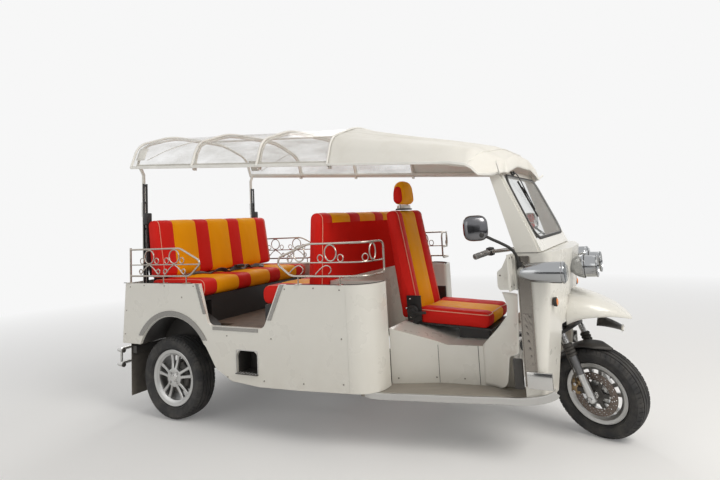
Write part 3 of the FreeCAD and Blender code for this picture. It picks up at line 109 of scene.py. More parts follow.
def facing(origin, direction):
    """A placement whose Z axis points along a direction."""
    turn = Vector(direction).to_track_quat("Z", "Y").to_matrix().to_4x4()
    return Matrix.Translation(Vector(origin)) @ turn


# Lines

def smooth_line(points, steps=8):
    """A smooth line through the points."""
    points = [Vector(p) for p in points]
    ends = [points[0] * 2 - points[1], *points, points[-1] * 2 - points[-2]]
    line = []
    for before, here, on, after in zip(ends, ends[1:], ends[2:], ends[3:]):
        for k in range(steps):
            t = k / steps
            line.append(0.5 * (here * 2 + (on - before) * t + (before * 2 - here * 5 + on * 4 - after)
                               * t ** 2 + (here * 3 - before - on * 3 + after) * t ** 3))
    line.append(points[-1])
    return line


def rounded(points, radii, steps=6, closed=False):
    """Straight runs whose corners are turned on arcs."""
    points = [Vector(p) for p in points]
    count = len(points)
    if not isinstance(radii, (list, tuple)):
        radii = [radii] * count
    line = []
    for i, here in enumerate(points):
        radius = radii[i]
        if radius <= 0 or (not closed and i in (0, count - 1)):
            line.append(here)
            continue
        back = (points[i - 1] - here).normalized()
        on = (points[(i + 1) % count] - here).normalized()
        half = back.angle(on) / 2
        reach = radius / math.tan(half)
        first, last = here + back * reach, here + on * reach
        centre = here + (back + on).normalized() * (radius / math.sin(half))
        one, two = first - centre, last - centre
        sweep = one.angle(two)
        for k in range(steps + 1):
            t = k / steps
            line.append(centre + (one * math.sin((1 - t) * sweep) + two * math.sin(t * sweep))
                        / math.sin(sweep))
    return line


def spaced(line, count, closed=False):
    """The same line as evenly spaced points."""
    pts = np.array([tuple(p) for p in line] + ([tuple(line[0])] if closed else []))
    run = np.concatenate([[0], np.cumsum(np.linalg.norm(np.diff(pts, axis=0), axis=1))])
    at = np.linspace(0, run[-1], count + 1)[:-1] if closed else np.linspace(0, run[-1], count)
    return [Vector([float(np.interp(s, run, pts[:, k])) for k in range(pts.shape[1])]) for s in at]


def polar(reach, turn):
    """A point of a plane, that far from its middle and turned by an angle."""
    return reach * math.cos(turn), reach * math.sin(turn)


def circle(radius, sides=12):
    """A round section."""
    return [polar(radius, 2 * math.pi * k / sides) for k in range(sides)]


def oval(width, height, middle, count):
    """An upright oval, as distances along a line and heights."""
    turns = np.linspace(0, 2 * math.pi, count + 1)[:-1]
    return [(width * math.cos(a), middle + height * math.sin(a)) for a in turns]


def signed_power(value, power):
    """A power that keeps the value's sign, for outlines between an ellipse and a box."""
    return math.copysign(abs(value) ** power, value)


def blend(pair, t):
    """The value at a share of the way from the first of a pair to the second."""
    return pair[0] + (pair[1] - pair[0]) * t


def slab_section(width, height, bevel=0.001):
    """A flat section with cut corners."""
    w, h, b = width / 2, height / 2, min(bevel, height * 0.4)
    return [(-w, b - h), (b - w, -h), (w - b, -h), (w, b - h), (w, h - b), (w - b, h), (b - w, h),
            (-w, h - b)]


# Meshes

class Form:
    """Points and faces gathered for one piece, each face with the number of its finish."""

    def __init__(self):
        self.points = []
        self.faces = []
        self.kinds = []

    def add(self, points, faces, kind=0):
        first = len(self.points)
        self.points.extend(Vector(p) for p in points)
        self.faces.extend([first + i for i in face] for face in faces)
        self.kinds.extend([kind] * len(faces))

    def skin(self, rows, kind=0, wrap=False, closed=False, caps=False):
        """Faces over rows of points. wrap joins each row's ends, closed joins the last row to the first."""
        rows = [list(row) for row in rows]
        wide, tall = len(rows[0]), len(rows)
        faces = []
        for r in range(tall if closed else tall - 1):
            nxt = (r + 1) % tall
            for c in range(wide if wrap else wide - 1):
                d = (c + 1) % wide
                faces.append((r * wide + c, r * wide + d, nxt * wide + d, nxt * wide + c))
        if caps:
            faces.append(tuple(range(wide)))
            faces.append(tuple(range(tall * wide - 1, (tall - 1) * wide - 1, -1)))
        self.add([p for row in rows for p in row], faces, kind)

    def sweep(self, line, section, kind=0, up=None, closed=False):
        """A section carried along a line. up holds its second direction, or it turns as little as it can."""
        line = [Vector(p) for p in line]
        count = len(line)
        rows = []
        across = None
        for i, here in enumerate(line):
            if closed:
                on = line[(i + 1) % count] - line[i - 1]
            else:
                on = line[min(i + 1, count - 1)] - line[max(i - 1, 0)]
            on.normalize()
            if up is not None:
                side = on.cross(Vector(up[i] if isinstance(up, list) else up)).normalized()
            elif across is None:
                side = on.orthogonal().normalized()
            else:
                side = (across - on * across.dot(on)).normalized()
            across = side
            over = side.cross(on).normalized()
            rows.append([here + side * u + over * v for u, v in section])
        self.skin(rows, kind, wrap=True, closed=closed, caps=not closed)

    def tube(self, line, radius, kind=0, sides=12, closed=False):
        self.sweep(line, circle(radius, sides), kind, None, closed)

    def lathe(self, profile, place, kind=0, steps=40, ring=False):
        """A turned form from (along, radius) points about a placement's Z axis. ring closes the profile."""
        rows = []
        for k in range(steps):
            turn = 2 * math.pi * k / steps
            rows.append([place @ Vector((r * math.cos(turn), r * math.sin(turn), z)) for z, r in profile])
        self.skin(rows, kind, wrap=ring, closed=True)

    def block(self, size, place, kind=0, bevel=0.002, segments=2):
        """A box with rounded edges."""
        mesh = bmesh.new()
        bmesh.ops.create_cube(mesh, size=1)
        bmesh.ops.scale(mesh, vec=Vector(size), verts=mesh.verts)
        bmesh.ops.bevel(mesh, geom=mesh.edges[:], offset=bevel, segments=segments, affect="EDGES",
                        profile=0.5)
        mesh.verts.ensure_lookup_table()
        self.add([place @ v.co for v in mesh.verts], [[v.index for v in f.verts] for f in mesh.faces], kind)
        mesh.free()

    def plate(self, loops, thickness, place, kind=0, bevel=0.0008):
        """A flat plate with holes, cut from outlines in a placement's XY plane."""
        curve = bpy.data.curves.new("outline", "CURVE")
        curve.dimensions, curve.fill_mode = "2D", "BOTH"
        curve.extrude, curve.bevel_depth, curve.offset = thickness / 2 - bevel, bevel, -bevel
        curve.bevel_resolution = 1
        for loop in loops:
            spline = curve.splines.new("POLY")
            spline.points.add(len(loop) - 1)
            for knot, (x, y) in zip(spline.points, loop):
                knot.co = (x, y, 0, 1)
            spline.use_cyclic_u = True
        holder = bpy.data.objects.new("outline", curve)
        mesh = bpy.data.meshes.new_from_object(holder)
        self.add([place @ v.co for v in mesh.vertices], [list(f.vertices) for f in mesh.polygons], kind)
        bpy.data.objects.remove(holder)
        bpy.data.curves.remove(curve)
        bpy.data.meshes.remove(mesh)

    def move(self, matrix):
        self.points = [matrix @ p for p in self.points]
        return self

    def mirrored(self):
        """The same form with its mirror image on the other side of the vehicle."""
        count = len(self.points)
        self.points += [Vector((p.x, -p.y, p.z)) for p in self.points]
        self.faces += [[count + i for i in reversed(face)] for face in self.faces]
        self.kinds += list(self.kinds)
        return self

    def piece(self, name, finishes, slot, stands_for=(), body="chassis", crease=35, thick=0):
        """Makes the object, puts it on its body and hides the imported solids that it stands for."""
        mesh = bpy.data.meshes.new(name)
        mesh.from_pydata([tuple(p) for p in self.points], [], self.faces)
        mesh.polygons.foreach_set("material_index", self.kinds)
        obj = bpy.data.objects.new(name, mesh)
        bpy.context.scene.collection.objects.link(obj)
        for finish in finishes:
            mesh.materials.append(bpy.data.materials[finish])
        tidy(mesh, crease)
        if thick:
            solid = obj.modifiers.new("Thickness", "SOLIDIFY")
            solid.thickness, solid.offset = thick, 0
        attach(obj, body)
        if stands_for:
            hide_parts(*stands_for)
        return obj


def tidy(mesh, crease):
    """Joins doubled points, turns the faces outward and keeps edges sharper than the crease angle."""
    work = bmesh.new()
    work.from_mesh(mesh)
    bmesh.ops.remove_doubles(work, verts=work.verts, dist=2e-6)
    bmesh.ops.dissolve_degenerate(work, edges=work.edges, dist=1e-7)
    bmesh.ops.recalc_face_normals(work, faces=work.faces)
    limit = math.radians(crease)
    for face in work.faces:
        face.smooth = True
    for edge in work.edges:
        edge.smooth = len(edge.link_faces) != 2 or edge.calc_face_angle(0) < limit
    work.to_mesh(mesh)
    work.free()
    mesh.update()


# Finishes

class Finish:
    """One procedural material, with short ways to add its nodes."""

    def __init__(self, name, colour, roughness, **sockets):
        # the pack's plain material of the same name gives way to this one
        packed = bpy.data.materials.get(name)
        if packed:
            packed.name = "packed_" + name
        self.material = bpy.data.materials.new(name)
        self.material.use_nodes = True
        self.tree = self.material.node_tree
        self.shader = self.tree.nodes["Principled BSDF"]
        self.set("Base Color", (*colour[:3], 1))
        self.set("Roughness", roughness)
        for socket, value in sockets.items():
            self.set(socket.replace("_", " "), value)
        self.place = self.node("ShaderNodeTexCoord").outputs["Object"]

    def set(self, socket, value):
        self.shader.inputs[socket].default_value = value

    def node(self, kind, **settings):
        made = self.tree.nodes.new(kind)
        for key, value in settings.items():
            setattr(made, key, value)
        return made

    def link(self, source, target):
        self.tree.links.new(source, target)

    def stretched(self, scale):
        mapping = self.node("ShaderNodeMapping")
        mapping.inputs["Scale"].default_value = scale
        self.link(self.place, mapping.inputs["Vector"])
        return mapping.outputs["Vector"]

    def noise(self, scale, detail=3, stretch=None, rough=0.5):
        made = self.node("ShaderNodeTexNoise")
        made.inputs["Scale"].default_value = scale
        made.inputs["Detail"].default_value = detail
        made.inputs["Roughness"].default_value = rough
        self.link(self.stretched(stretch) if stretch else self.place, made.inputs["Vector"])
        return made.outputs["Fac"]

    def cells(self, scale):
        made = self.node("ShaderNodeTexVoronoi", feature="DISTANCE_TO_EDGE")
        made.inputs["Scale"].default_value = scale
        self.link(self.place, made.inputs["Vector"])
        return made.outputs["Distance"]

    def waves(self, scale, axis):
        made = self.node("ShaderNodeTexWave", bands_direction=axis)
        made.inputs["Scale"].default_value = scale
        self.link(self.place, made.inputs["Vector"])
        return made.outputs["Fac"]

    def math(self, operation, one, two=0.5):
        made = self.node("ShaderNodeMath", operation=operation)
        for socket, value in zip(made.inputs, (one, two)):
            if isinstance(value, (int, float)):
                socket.default_value = value
            else:
                self.link(value, socket)
        return made.outputs["Value"]

    def axis(self, letter):
        made = self.node("ShaderNodeSeparateXYZ")
        self.link(self.place, made.inputs["Vector"])
        return made.outputs[letter]

    def spread(self, source, low, high, to_low=0, to_high=1):
        made = self.node("ShaderNodeMapRange", clamp=True)
        self.link(source, made.inputs["Value"])
        for socket, value in zip(("From Min", "From Max", "To Min", "To Max"), (low, high, to_low, to_high)):
            made.inputs[socket].default_value = value
        return made.outputs["Result"]

    def bands(self, source, stops):
        """Colours that change in steps at the stops' places."""
        made = self.node("ShaderNodeValToRGB")
        ramp = made.color_ramp
        ramp.interpolation = "CONSTANT"
        while len(ramp.elements) < len(stops):
            ramp.elements.new(1)
        for element, (position, colour) in zip(ramp.elements, stops):
            element.position = position
            element.color = (*colour[:3], 1)
        self.link(source, made.inputs["Fac"])
        return made.outputs["Color"]

    def mix(self, factor, one, two):
        made = self.node("ShaderNodeMix", data_type="RGBA")
        self.link(factor, made.inputs[0])
        for socket, value in zip(made.inputs[6:8], (one, two)):
            if isinstance(value, tuple):
                socket.default_value = (*value[:3], 1)
            else:
                self.link(value, socket)
        return made.outputs[2]

    def colour(self, source):
        self.link(source, self.shader.inputs["Base Color"])

    def gloss(self, source, low, high):
        self.link(self.spread(source, 0.3, 0.7, low, high), self.shader.inputs["Roughness"])

    def relief(self, *heights, soft=0):
        """Bumps of (height, strength, depth in metres), over edges softened by a radius."""
        normal = None
        if soft:
            bevel = self.node("ShaderNodeBevel", samples=4)
            bevel.inputs["Radius"].default_value = soft
            normal = bevel.outputs["Normal"]
        for height, strength, depth in heights:
            bump = self.node("ShaderNodeBump")
            bump.inputs["Strength"].default_value = strength
            bump.inputs["Distance"].default_value = depth
            self.link(height, bump.inputs["Height"])
            if normal is not None:
                self.link(normal, bump.inputs["Normal"])
            normal = bump.outputs["Normal"]
        self.link(normal, self.shader.inputs["Normal"])


def shade(colour, factor):
    """The same colour, darker or lighter."""
    return tuple(channel * factor for channel in colour[:3])


def metal(name, colour, roughness, smudge, soft=0.0015, grain=None):
    """Metal with smudges that dull it in places, and the grain of a casting where it has one."""
    finish = Finish(name, colour, roughness, Metallic=1.0)
    finish.gloss(finish.noise(9, 4), roughness, roughness + smudge)
    finish.colour(finish.mix(finish.noise(5, 3), shade(colour, 0.93), colour))
    skin = (finish.noise(grain, 2), 0.25, 0.0006) if grain else (finish.noise(30, 2), 0.03, 0.001)
    finish.relief(skin, soft=soft)


def dull(name, colour, roughness, scale=500, depth=0.0004, dust=0.0):
    """Paint, plastic or rubber with a fine skin, patches of gloss and a little dust."""
    finish = Finish(name, colour, roughness)
    patches = finish.noise(6, 4)
    base = finish.mix(patches, shade(colour, 0.8), shade(colour, 1.2))
    if dust:
        low = finish.spread(finish.axis("Z"), 0.75, 0.15)
        dusty = finish.math("MULTIPLY", finish.math("MULTIPLY", low, finish.noise(14, 6)), dust)
        base = finish.mix(dusty, base, (0.33, 0.29, 0.24))
    finish.colour(base)
    finish.gloss(patches, max(roughness - 0.08, 0.05), min(roughness + 0.1, 1))
    finish.relief((finish.noise(scale, 3), 0.35, depth), soft=0.0015)


def painted_white(colour):
    """The panels' paint, clean above and dusty towards the road."""
    finish = Finish("white_paint", colour, 0.3, Coat_Weight=0.35, Coat_Roughness=0.06)
    low = finish.spread(finish.axis("Z"), 0.62, 0.28)
    dirt = finish.math("MULTIPLY", finish.math("MULTIPLY", low, finish.noise(11, 6)), 0.42)
    clean = finish.mix(finish.noise(2.2, 3), shade(colour, 0.97), colour)
    finish.colour(finish.mix(dirt, clean, (0.46, 0.41, 0.33)))
    finish.gloss(finish.noise(7, 5), 0.24, 0.38)
    finish.relief((finish.noise(260, 2), 0.06, 0.0006), (finish.noise(3.5, 2), 0.12, 0.004), soft=0.003)


def vinyl(name, colours, edges):
    """Sewn vinyl whose panels change colour at the edges' distances from the middle, or red without edges."""
    red, orange = colours
    finish = Finish(name, red, 0.5, Specular_IOR_Level=0.07 if edges else 0.0)
    if edges:
        stops = [(0.0, orange)] + [(edge, (red, orange)[i % 2]) for i, edge in enumerate(edges)]
        panels = finish.bands(finish.math("ABSOLUTE", finish.axis("Y")), stops)
    else:
        panels = finish.mix(finish.noise(8, 2), red, shade(red, 1.02))
    shadowed = finish.mix(finish.spread(finish.noise(5, 4, (1, 1, 0.5)), 0.3, 0.7, 0, 0.09), panels,
                          shade(red, 0.4))
    finish.colour(shadowed)
    finish.gloss(finish.noise(20, 4), 0.40, 0.58)
    finish.relief((finish.cells(700), 0.35, 0.0005), (finish.noise(1400, 2), 0.2, 0.0003),
                  (finish.noise(26, 3, (1, 1, 0.35)), 0.22, 0.003))


def make_finishes(colours):
    """Makes every finish, the plain ones first and then those with a pattern of their own."""
    red, orange = tuple(colours.red), tuple(colours.orange)
    painted_white(tuple(colours.body))
    dull("black_paint", (0.020, 0.020, 0.021), 0.36, 240, 0.0004, dust=0.25)
    dull("black_plastic", (0.022, 0.022, 0.023), 0.52, 700, dust=0.4)
    dull("black_rubber", (0.028, 0.027, 0.026), 0.68, 600, dust=0.5)
    dull("battery_case", (0.05, 0.05, 0.055), 0.55, 300)
    dull("spring_steel", (0.045, 0.045, 0.047), 0.5, 200, dust=0.4)
    dull("dark_screw", (0.19, 0.17, 0.145), 0.4, 400)
    metal("chrome", (0.60, 0.595, 0.58), 0.07, 0.12)
    # painted reflection: the rails' warm brown, darker tint stands for sandy ground reflected in their chrome
    metal("rail_chrome", (0.47, 0.43, 0.38), 0.20, 0.16)
    metal("lamp_chrome", (0.40, 0.41, 0.42), 0.09, 0.12)
    metal("trim_chrome", (0.36, 0.35, 0.33), 0.12, 0.14)
    dull("hem_tape", (0.82, 0.81, 0.77), 0.6, 900)
    metal("cast_alloy", (0.56, 0.56, 0.55), 0.32, 0.16, grain=420)
    metal("bright_steel", (0.58, 0.575, 0.56), 0.26, 0.22, grain=160)
    metal("stanchion", (0.60, 0.60, 0.60), 0.12, 0.12)
    metal("leg_alloy", (0.70, 0.70, 0.69), 0.30, 0.12, grain=300)
    # painted reflection: the plates' dark warm tint stands for sandy ground reflected in polished steel
    metal("polished_plate", (0.31, 0.285, 0.255), 0.15, 0.16)
    dull("board_mat", (0.30, 0.275, 0.235), 0.72, 240, 0.0008, dust=0.3)
    dull("grip_grey", (0.27, 0.27, 0.27), 0.45, 500)
    metal("gloss_black", (0.17, 0.17, 0.18), 0.13, 0.1)
    metal("brass_gold", (0.36, 0.26, 0.15), 0.38, 0.2, grain=400)
    metal("fork_grey", (0.20, 0.20, 0.205), 0.34, 0.16, grain=500)
    metal("disc_steel", (0.20, 0.165, 0.145), 0.34, 0.22, grain=260)
    metal("mirror_face", (0.93, 0.94, 0.95), 0.02, 0.01, soft=0)
    for name, edges in (("striped_vinyl", STRIPES), ("seat_vinyl", SEAT_STRIPE), ("rest_vinyl", REST_STRIPE),
                        ("red_vinyl", ())):
        vinyl(name, (red, orange), edges)

    piping = Finish("piping", (0.80, 0.34, 0.22), 0.4)
    piping.colour(piping.mix(piping.noise(60, 3), (0.74, 0.24, 0.15), (0.84, 0.45, 0.32)))
    piping.relief((piping.noise(500, 2), 0.3, 0.0004))

    tyre = Finish("tyre", (0.03, 0.03, 0.031), 0.8)
    dusty = tyre.spread(tyre.noise(16, 6, rough=0.65), 0.42, 0.75, 0, 0.45)
    tyre.colour(tyre.mix(dusty, (0.024, 0.024, 0.025), (0.115, 0.105, 0.092)))
    tyre.gloss(tyre.noise(9, 3), 0.66, 0.88)
    tyre.relief((tyre.noise(900, 3), 0.4, 0.0005))

    mat = Finish("floor_mat", (0.13, 0.083, 0.055), 0.72)
    mat.colour(mat.mix(mat.noise(18, 6), (0.085, 0.055, 0.040), (0.21, 0.15, 0.105)))
    mat.relief((mat.waves(28, "X"), 0.5, 0.002), (mat.noise(700, 3), 0.4, 0.0006), soft=0.002)

    canvas = Finish("canvas", (0.80, 0.79, 0.755), 0.72, Sheen_Weight=0.15)
    weave = canvas.math("MULTIPLY", canvas.waves(330, "X"), canvas.waves(330, "Y"))
    stain = canvas.spread(canvas.noise(5, 6, rough=0.6), 0.45, 0.8, 0, 0.4)
    canvas.colour(canvas.mix(stain, tuple(colours.canopy), (0.58, 0.54, 0.47)))
    canvas.relief((weave, 0.25, 0.0005), (canvas.noise(22, 4, (0.4, 1, 1)), 0.35, 0.004))

    sheet = Finish("clear_sheet", (0.47, 0.45, 0.40), 0.12, Coat_Weight=0.22, Coat_Roughness=0.08)
    haze = sheet.noise(5, 5, (0.35, 1, 1), rough=0.62)
    sheet.colour(sheet.mix(sheet.noise(3, 4, (0.4, 1, 1)), (0.36, 0.345, 0.30), (0.66, 0.64, 0.58)))
    sheet.link(sheet.spread(haze, 0.38, 0.66, 0.05, 0.30), sheet.shader.inputs["Alpha"])
    sheet.gloss(sheet.noise(12, 3), 0.08, 0.26)
    sheet.relief((sheet.noise(9, 4, (0.5, 1, 1)), 0.55, 0.006))

    glass = Finish("clear_glass", (0.16, 0.20, 0.19), 0.02, IOR=1.45, Alpha=0.20)
    glass.gloss(glass.noise(6, 4), 0.01, 0.05)
    glass.colour(glass.mix(glass.noise(3, 3), (0.13, 0.17, 0.16), (0.20, 0.24, 0.22)))

    for name, colour in (("orange_lens", (0.95, 0.25, 0.02)), ("red_lens", (0.62, 0.012, 0.012)),
                         ("amber_lens", (0.90, 0.42, 0.05))):
        lens = Finish(name, colour, 0.12, Coat_Weight=0.8, IOR=1.49)
        lens.colour(lens.mix(lens.noise(40, 2), shade(colour, 0.75), colour))
        lens.relief((lens.waves(120, "Y"), 0.25, 0.0012))
    lamp = Finish("lamp_glass", (0.22, 0.25, 0.27), 0.04, Alpha=0.34, IOR=1.5)
    lamp.relief((lamp.waves(70, "Y"), 0.5, 0.0015))

    web = Finish("webbing", (0.018, 0.018, 0.020), 0.6, Sheen_Weight=0.3)
    web.colour(web.mix(web.noise(30, 3), (0.012, 0.012, 0.014), (0.032, 0.032, 0.035)))
    web.relief((web.math("MULTIPLY", web.waves(240, "X"), web.waves(120, "DIAGONAL")), 0.6, 0.0008))


def dress_frame():
    """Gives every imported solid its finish, by the start of its node's name."""
    for name, obj in frame["nodes"].items():
        finishes = [finish for finish, starts in NODE_FINISHES.items() if name.startswith(starts)]
        obj.data.materials.clear()
        obj.data.materials.append(bpy.data.materials[finishes[-1] if finishes else "white_paint"])


NODE_FINISHES = {
    "cast_alloy": ("rim_",),
    "tyre": ("tyre_",),
    "battery_case": ("battery",),
    "spring_steel": ("rear_springs",),
    "black_paint": ("chassis_frame", "rear_axle", "rear_bench_base", "rear_back_board", "middle_bench_base",
                    "driver_seat_base", "wiper", "fork"),
    "red_lens": ("tail_lamps",),
    "floor_mat": ("floor_pan",),
    "black_plastic": ("arch_liners", "small_mudguard", "step_boxes"),
    "chrome": ("rear_bumper", "headlamps", "turn_signals", "mirrors"),
    "rail_chrome": ("side_rails",),
    "trim_chrome": ("side_trims",),
    "polished_plate": ("pillar_plates",),
    "board_mat": ("running_boards",),
    "black_rubber": ("mud_flaps", "handlebar"),
    "red_vinyl": ("rear_bench_c", "rear_bench_back", "middle_bench_c", "middle_bench_back", "driver_cushion",
                  "driver_back", "driver_headrest"),
    "clear_glass": ("windscreen_glass", "headlamp_lenses"),
    "orange_lens": ("front_markers",),
    "clear_sheet": ("canopy_clear",),
    "canvas": ("canopy_canvas",),
    "webbing": ("belt_uprights",),
}


# Wheels

# Tyres: radius, half width, rim's radius and half width at the beads.
# Rims: radius, half width and hub's back.
REAR_TYRE, REAR_RIM = (0.266, 0.0775, 0.182, 0.050), (0.182, 0.057, 0.050)
FRONT_TYRE, FRONT_RIM = (0.243, 0.065, 0.165, 0.040), (0.165, 0.048, 0.050)
REAR_TRACK = 0.620


def tyre_form(radius, half, rim_radius, bead, tread_depth, pitches=62):
    """A tyre about Y with four grooves round it and short cross cuts in the shoulders."""
    tall = radius - rim_radius
    tread = half * 0.74
    scale = half / REAR_TYRE[1]
    shoulder = 0.050 * scale

    def crown(y):
        return radius - 0.0045 * (y / tread) ** 2

    side = [(bead - 0.004, rim_radius - 0.015), (bead - 0.001, rim_radius + 0.001),
            (bead + 0.005, rim_radius + 0.004), (half - 0.010, rim_radius + 0.14 * tall),
            (half - 0.0065, rim_radius + 0.17 * tall), (half - 0.0078, rim_radius + 0.21 * tall),
            (half - 0.002, rim_radius + 0.40 * tall), (half, rim_radius + 0.54 * tall),
            (half - 0.0012, rim_radius + 0.66 * tall), (half + 0.0002, rim_radius + 0.68 * tall),
            (half - 0.0025, rim_radius + 0.74 * tall), (half - 0.006, radius - 0.017),
            (half - 0.012, radius - 0.0095)]
    cut = []
    groove = 0.0038
    for place in (0.045, 0.016):
        place *= scale
        for y, depth in ((place + groove, 0), (place + groove - 0.0012, tread_depth),
                         (place - groove + 0.0012, tread_depth), (place - groove, 0)):
            cut.append((y, crown(y) - depth))
    top = [(tread, crown(tread))] + cut
    right = side + top
    profile = [(-y, r) for y, r in right] + [(y, r) for y, r in reversed(right)]
    profile += [(bead - 0.02, rim_radius - 0.006), (0.0, rim_radius - 0.004),
                (0.02 - bead, rim_radius - 0.006)]
    marks = (0.0, 0.045, 0.20, 0.245, 0.62)
    rows = []
    for pitch in range(pitches):
        for k, mark in enumerate(marks):
            row = []
            for y, r in profile:
                slant = 0.9 * max(0, abs(y) - 0.045) / half
                turn = 2 * math.pi * (pitch + mark + slant) / pitches
                if k in (1, 2) and r > radius - 0.0185 and shoulder < abs(y) < half:
                    r -= 0.0045
                row.append((r * math.sin(turn), y, r * math.cos(turn)))
            rows.append(row)
    form = Form()
    form.skin(rows, wrap=True, closed=True)
    return form


def spoke(form, angle, foot, tip, widths, fronts, backs, offset):
    """One spoke of a cast wheel, from hub to rim, with its face rounded."""
    rows = []
    for k in range(9):
        t = k / 8
        reach = blend((foot, tip), t)
        centre = blend(offset, t)
        wide = blend(widths, ((2 * t - 1) ** 2 + t) / 2)
        front = blend(fronts, t) + 0.004 * math.sin(math.pi * t)
        back = blend(backs, t)
        section = [(-wide, back), (-wide, front + 0.004), (-wide * 0.72, front), (wide * 0.72, front),
                   (wide, front + 0.004), (wide, back)]
        row = []
        for u, y in section:
            x, z = centre + u, reach
            row.append((x * math.cos(angle) + z * math.sin(angle), y,
                        z * math.cos(angle) - x * math.sin(angle)))
        rows.append(row)
    form.skin(rows, wrap=True, caps=True)


def rim_form(radius, half, hub_back):
    """A cast wheel about Y with its face towards -Y: stepped lip, five twin spokes and a bolted hub."""
    seat = radius - 0.018
    well = seat - 0.014
    barrel = [(-half, radius - 0.003), (-half + 0.0015, radius), (-half + 0.006, radius),
              (-half + 0.008, seat + 0.002), (-half + 0.022, seat), (-half + 0.034, well),
              (half - 0.034, well), (half - 0.022, seat), (half - 0.008, seat + 0.002),
              (half - 0.006, radius), (half - 0.001, radius), (half, radius - 0.003), (half, well - 0.004),
              (half - 0.006, well - 0.007), (-half + 0.024, well - 0.007), (-half + 0.015, well - 0.004),
              (-half + 0.009, seat - 0.008), (-half + 0.004, seat - 0.003), (-half + 0.001, radius - 0.006)]
    form = Form()
    about_y = facing((0, 0, 0), (0, 1, 0))
    form.lathe(barrel, about_y, steps=96, ring=True)
    face = -half + 0.006
    hub = [(face + 0.003, 0), (face + 0.003, 0.026), (face + 0.006, 0.029), (face + 0.002, 0.032),
           (face, 0.048), (face + 0.003, 0.060), (face + 0.012, 0.063), (face + 0.034, 0.058),
           (hub_back, 0.050), (hub_back, 0)]
    form.lathe(hub, about_y, steps=60)
    for pair in range(5):
        angle = 2 * math.pi * pair / 5
        for lean in (-1, 1):
            spoke(form, angle, 0.052, well - 0.004, (0.0085, 0.0125), (face + 0.002, face + 0.012),
                  (face + 0.026, face + 0.034), (lean * 0.0125, lean * 0.030))
    # centre cap, and bolts sunk in their seats
    form.lathe([(face - 0.004, 0), (face - 0.0035, 0.012), (face - 0.001, 0.021), (face + 0.004, 0.024)],
               about_y, 2, 36)
    for k in range(4):
        x, z = polar(0.043, math.pi / 4 + k * math.pi / 2)
        place = facing((x, 0, z), (0, 1, 0))
        form.lathe([(face - 0.0004, 0.0095), (face - 0.0004, 0.0085), (face + 0.003, 0.0078)], place, 1, 20)
        form.lathe([(face - 0.005, 0), (face - 0.005, 0.0050), (face - 0.0035, 0.0062),
                    (face + 0.003, 0.0062)],
                   place, 2, 6)
    valve = 0.7
    stem = [(reach * math.sin(valve), y, reach * math.cos(valve))
            for reach, y in ((0.142, face + 0.012), (0.134, face - 0.004))]
    form.tube(stem, 0.0035, 1, 10)
    return form


def make_wheels(sizes):
    """Three tyres and cast rims, a drum in each rear rim and a disc by the front one."""
    depth = sizes.tread_depth
    alloy = ("cast_alloy", "black_rubber", "chrome", "black_paint")
    for side, name in ((-1, "right"), (1, "left")):
        place = placed(0, side * REAR_TRACK, REAR_TYRE[0])
        if side > 0:
            place = place @ Matrix.Rotation(math.pi, 4, "Z")
        body = "rear_wheel_" + name
        tyre = tyre_form(*REAR_TYRE, depth).move(place)
        tyre.piece("tyre_rear_%s_tread" % name, ["tyre"], "tyre", ["tyre_rear_" + name], body, 30)
        rim = rim_form(*REAR_RIM)
        drum = [(-0.020, 0.060), (-0.020, 0.098), (-0.014, 0.103), (0.034, 0.103), (0.038, 0.098),
                (0.038, 0.060)]
        rim.lathe(drum, facing((0, 0, 0), (0, 1, 0)), 3, 48, ring=True)
        rim.move(place).piece("rim_rear_%s_cast" % name, alloy, "cast_alloy", ["rim_rear_" + name], body, 32)
    place = STEERED @ Matrix.Translation(HUB)
    tyre = tyre_form(*FRONT_TYRE, depth, pitches=58).move(place)
    tyre.piece("tyre_front_tread", ["tyre"], "tyre", ["tyre_front"], "front_wheel", 30)
    rim = rim_form(*FRONT_RIM)
    rim.move(place).piece("rim_front_cast", alloy, "cast_alloy", ["rim_front"], "front_wheel", 32)
    make_brake_disc(place)


def make_brake_disc(place):
    """A pierced disc on its carrier, bolted to the near side of the front hub."""
    disc = Form()
    plane = facing((0, -0.0535, 0), (0, -1, 0))
    ring = [circle(0.118, 96), circle(0.078, 60)]
    for reach, shift in ((0.087, 0), (0.098, 0.33), (0.109, 0.66)):
        for k in range(24):
            x, y = polar(reach, 2 * math.pi * (k + shift) / 24)
            ring.append([(u + x, v + y) for u, v in circle(0.0034, 10)])
    disc.plate(ring, 0.0045, plane, 0, 0.0004)
    carrier = [spider_loop(0.083, 0.040, 6), circle(0.020, 30)]
    disc.plate(carrier, 0.006, plane @ Matrix.Translation((0, 0, 0.001)), 1, 0.0008)
    for k in range(6):
        head = plane @ Matrix.Translation((*polar(0.079, 2 * math.pi * k / 6), 0))
        disc.lathe([(0.0075, 0), (0.0072, 0.003), (0.006, 0.0052), (0.003, 0.0056)], head, 2, 12)
    disc.lathe([(0.0, 0.020), (0.012, 0.019), (0.014, 0.016), (0.014, 0.0)], plane, 2, 30)
    disc.move(place).piece("front_brake_disc", ["disc_steel", "black_paint", "chrome"], "cast_alloy",
                           body="front_wheel")


def spider_loop(outer, inner, arms):
    """The outline of a disc carrier with that many arms."""
    steps = 8
    loop = []
    for k in range(arms * steps):
        share = (k % steps) / steps
        reach = outer if share < 0.30 else inner + (outer - inner) * 0.12
        loop.append(polar(reach, 2 * math.pi * (k / steps - 0.13) / arms))
    return loop


# Seats

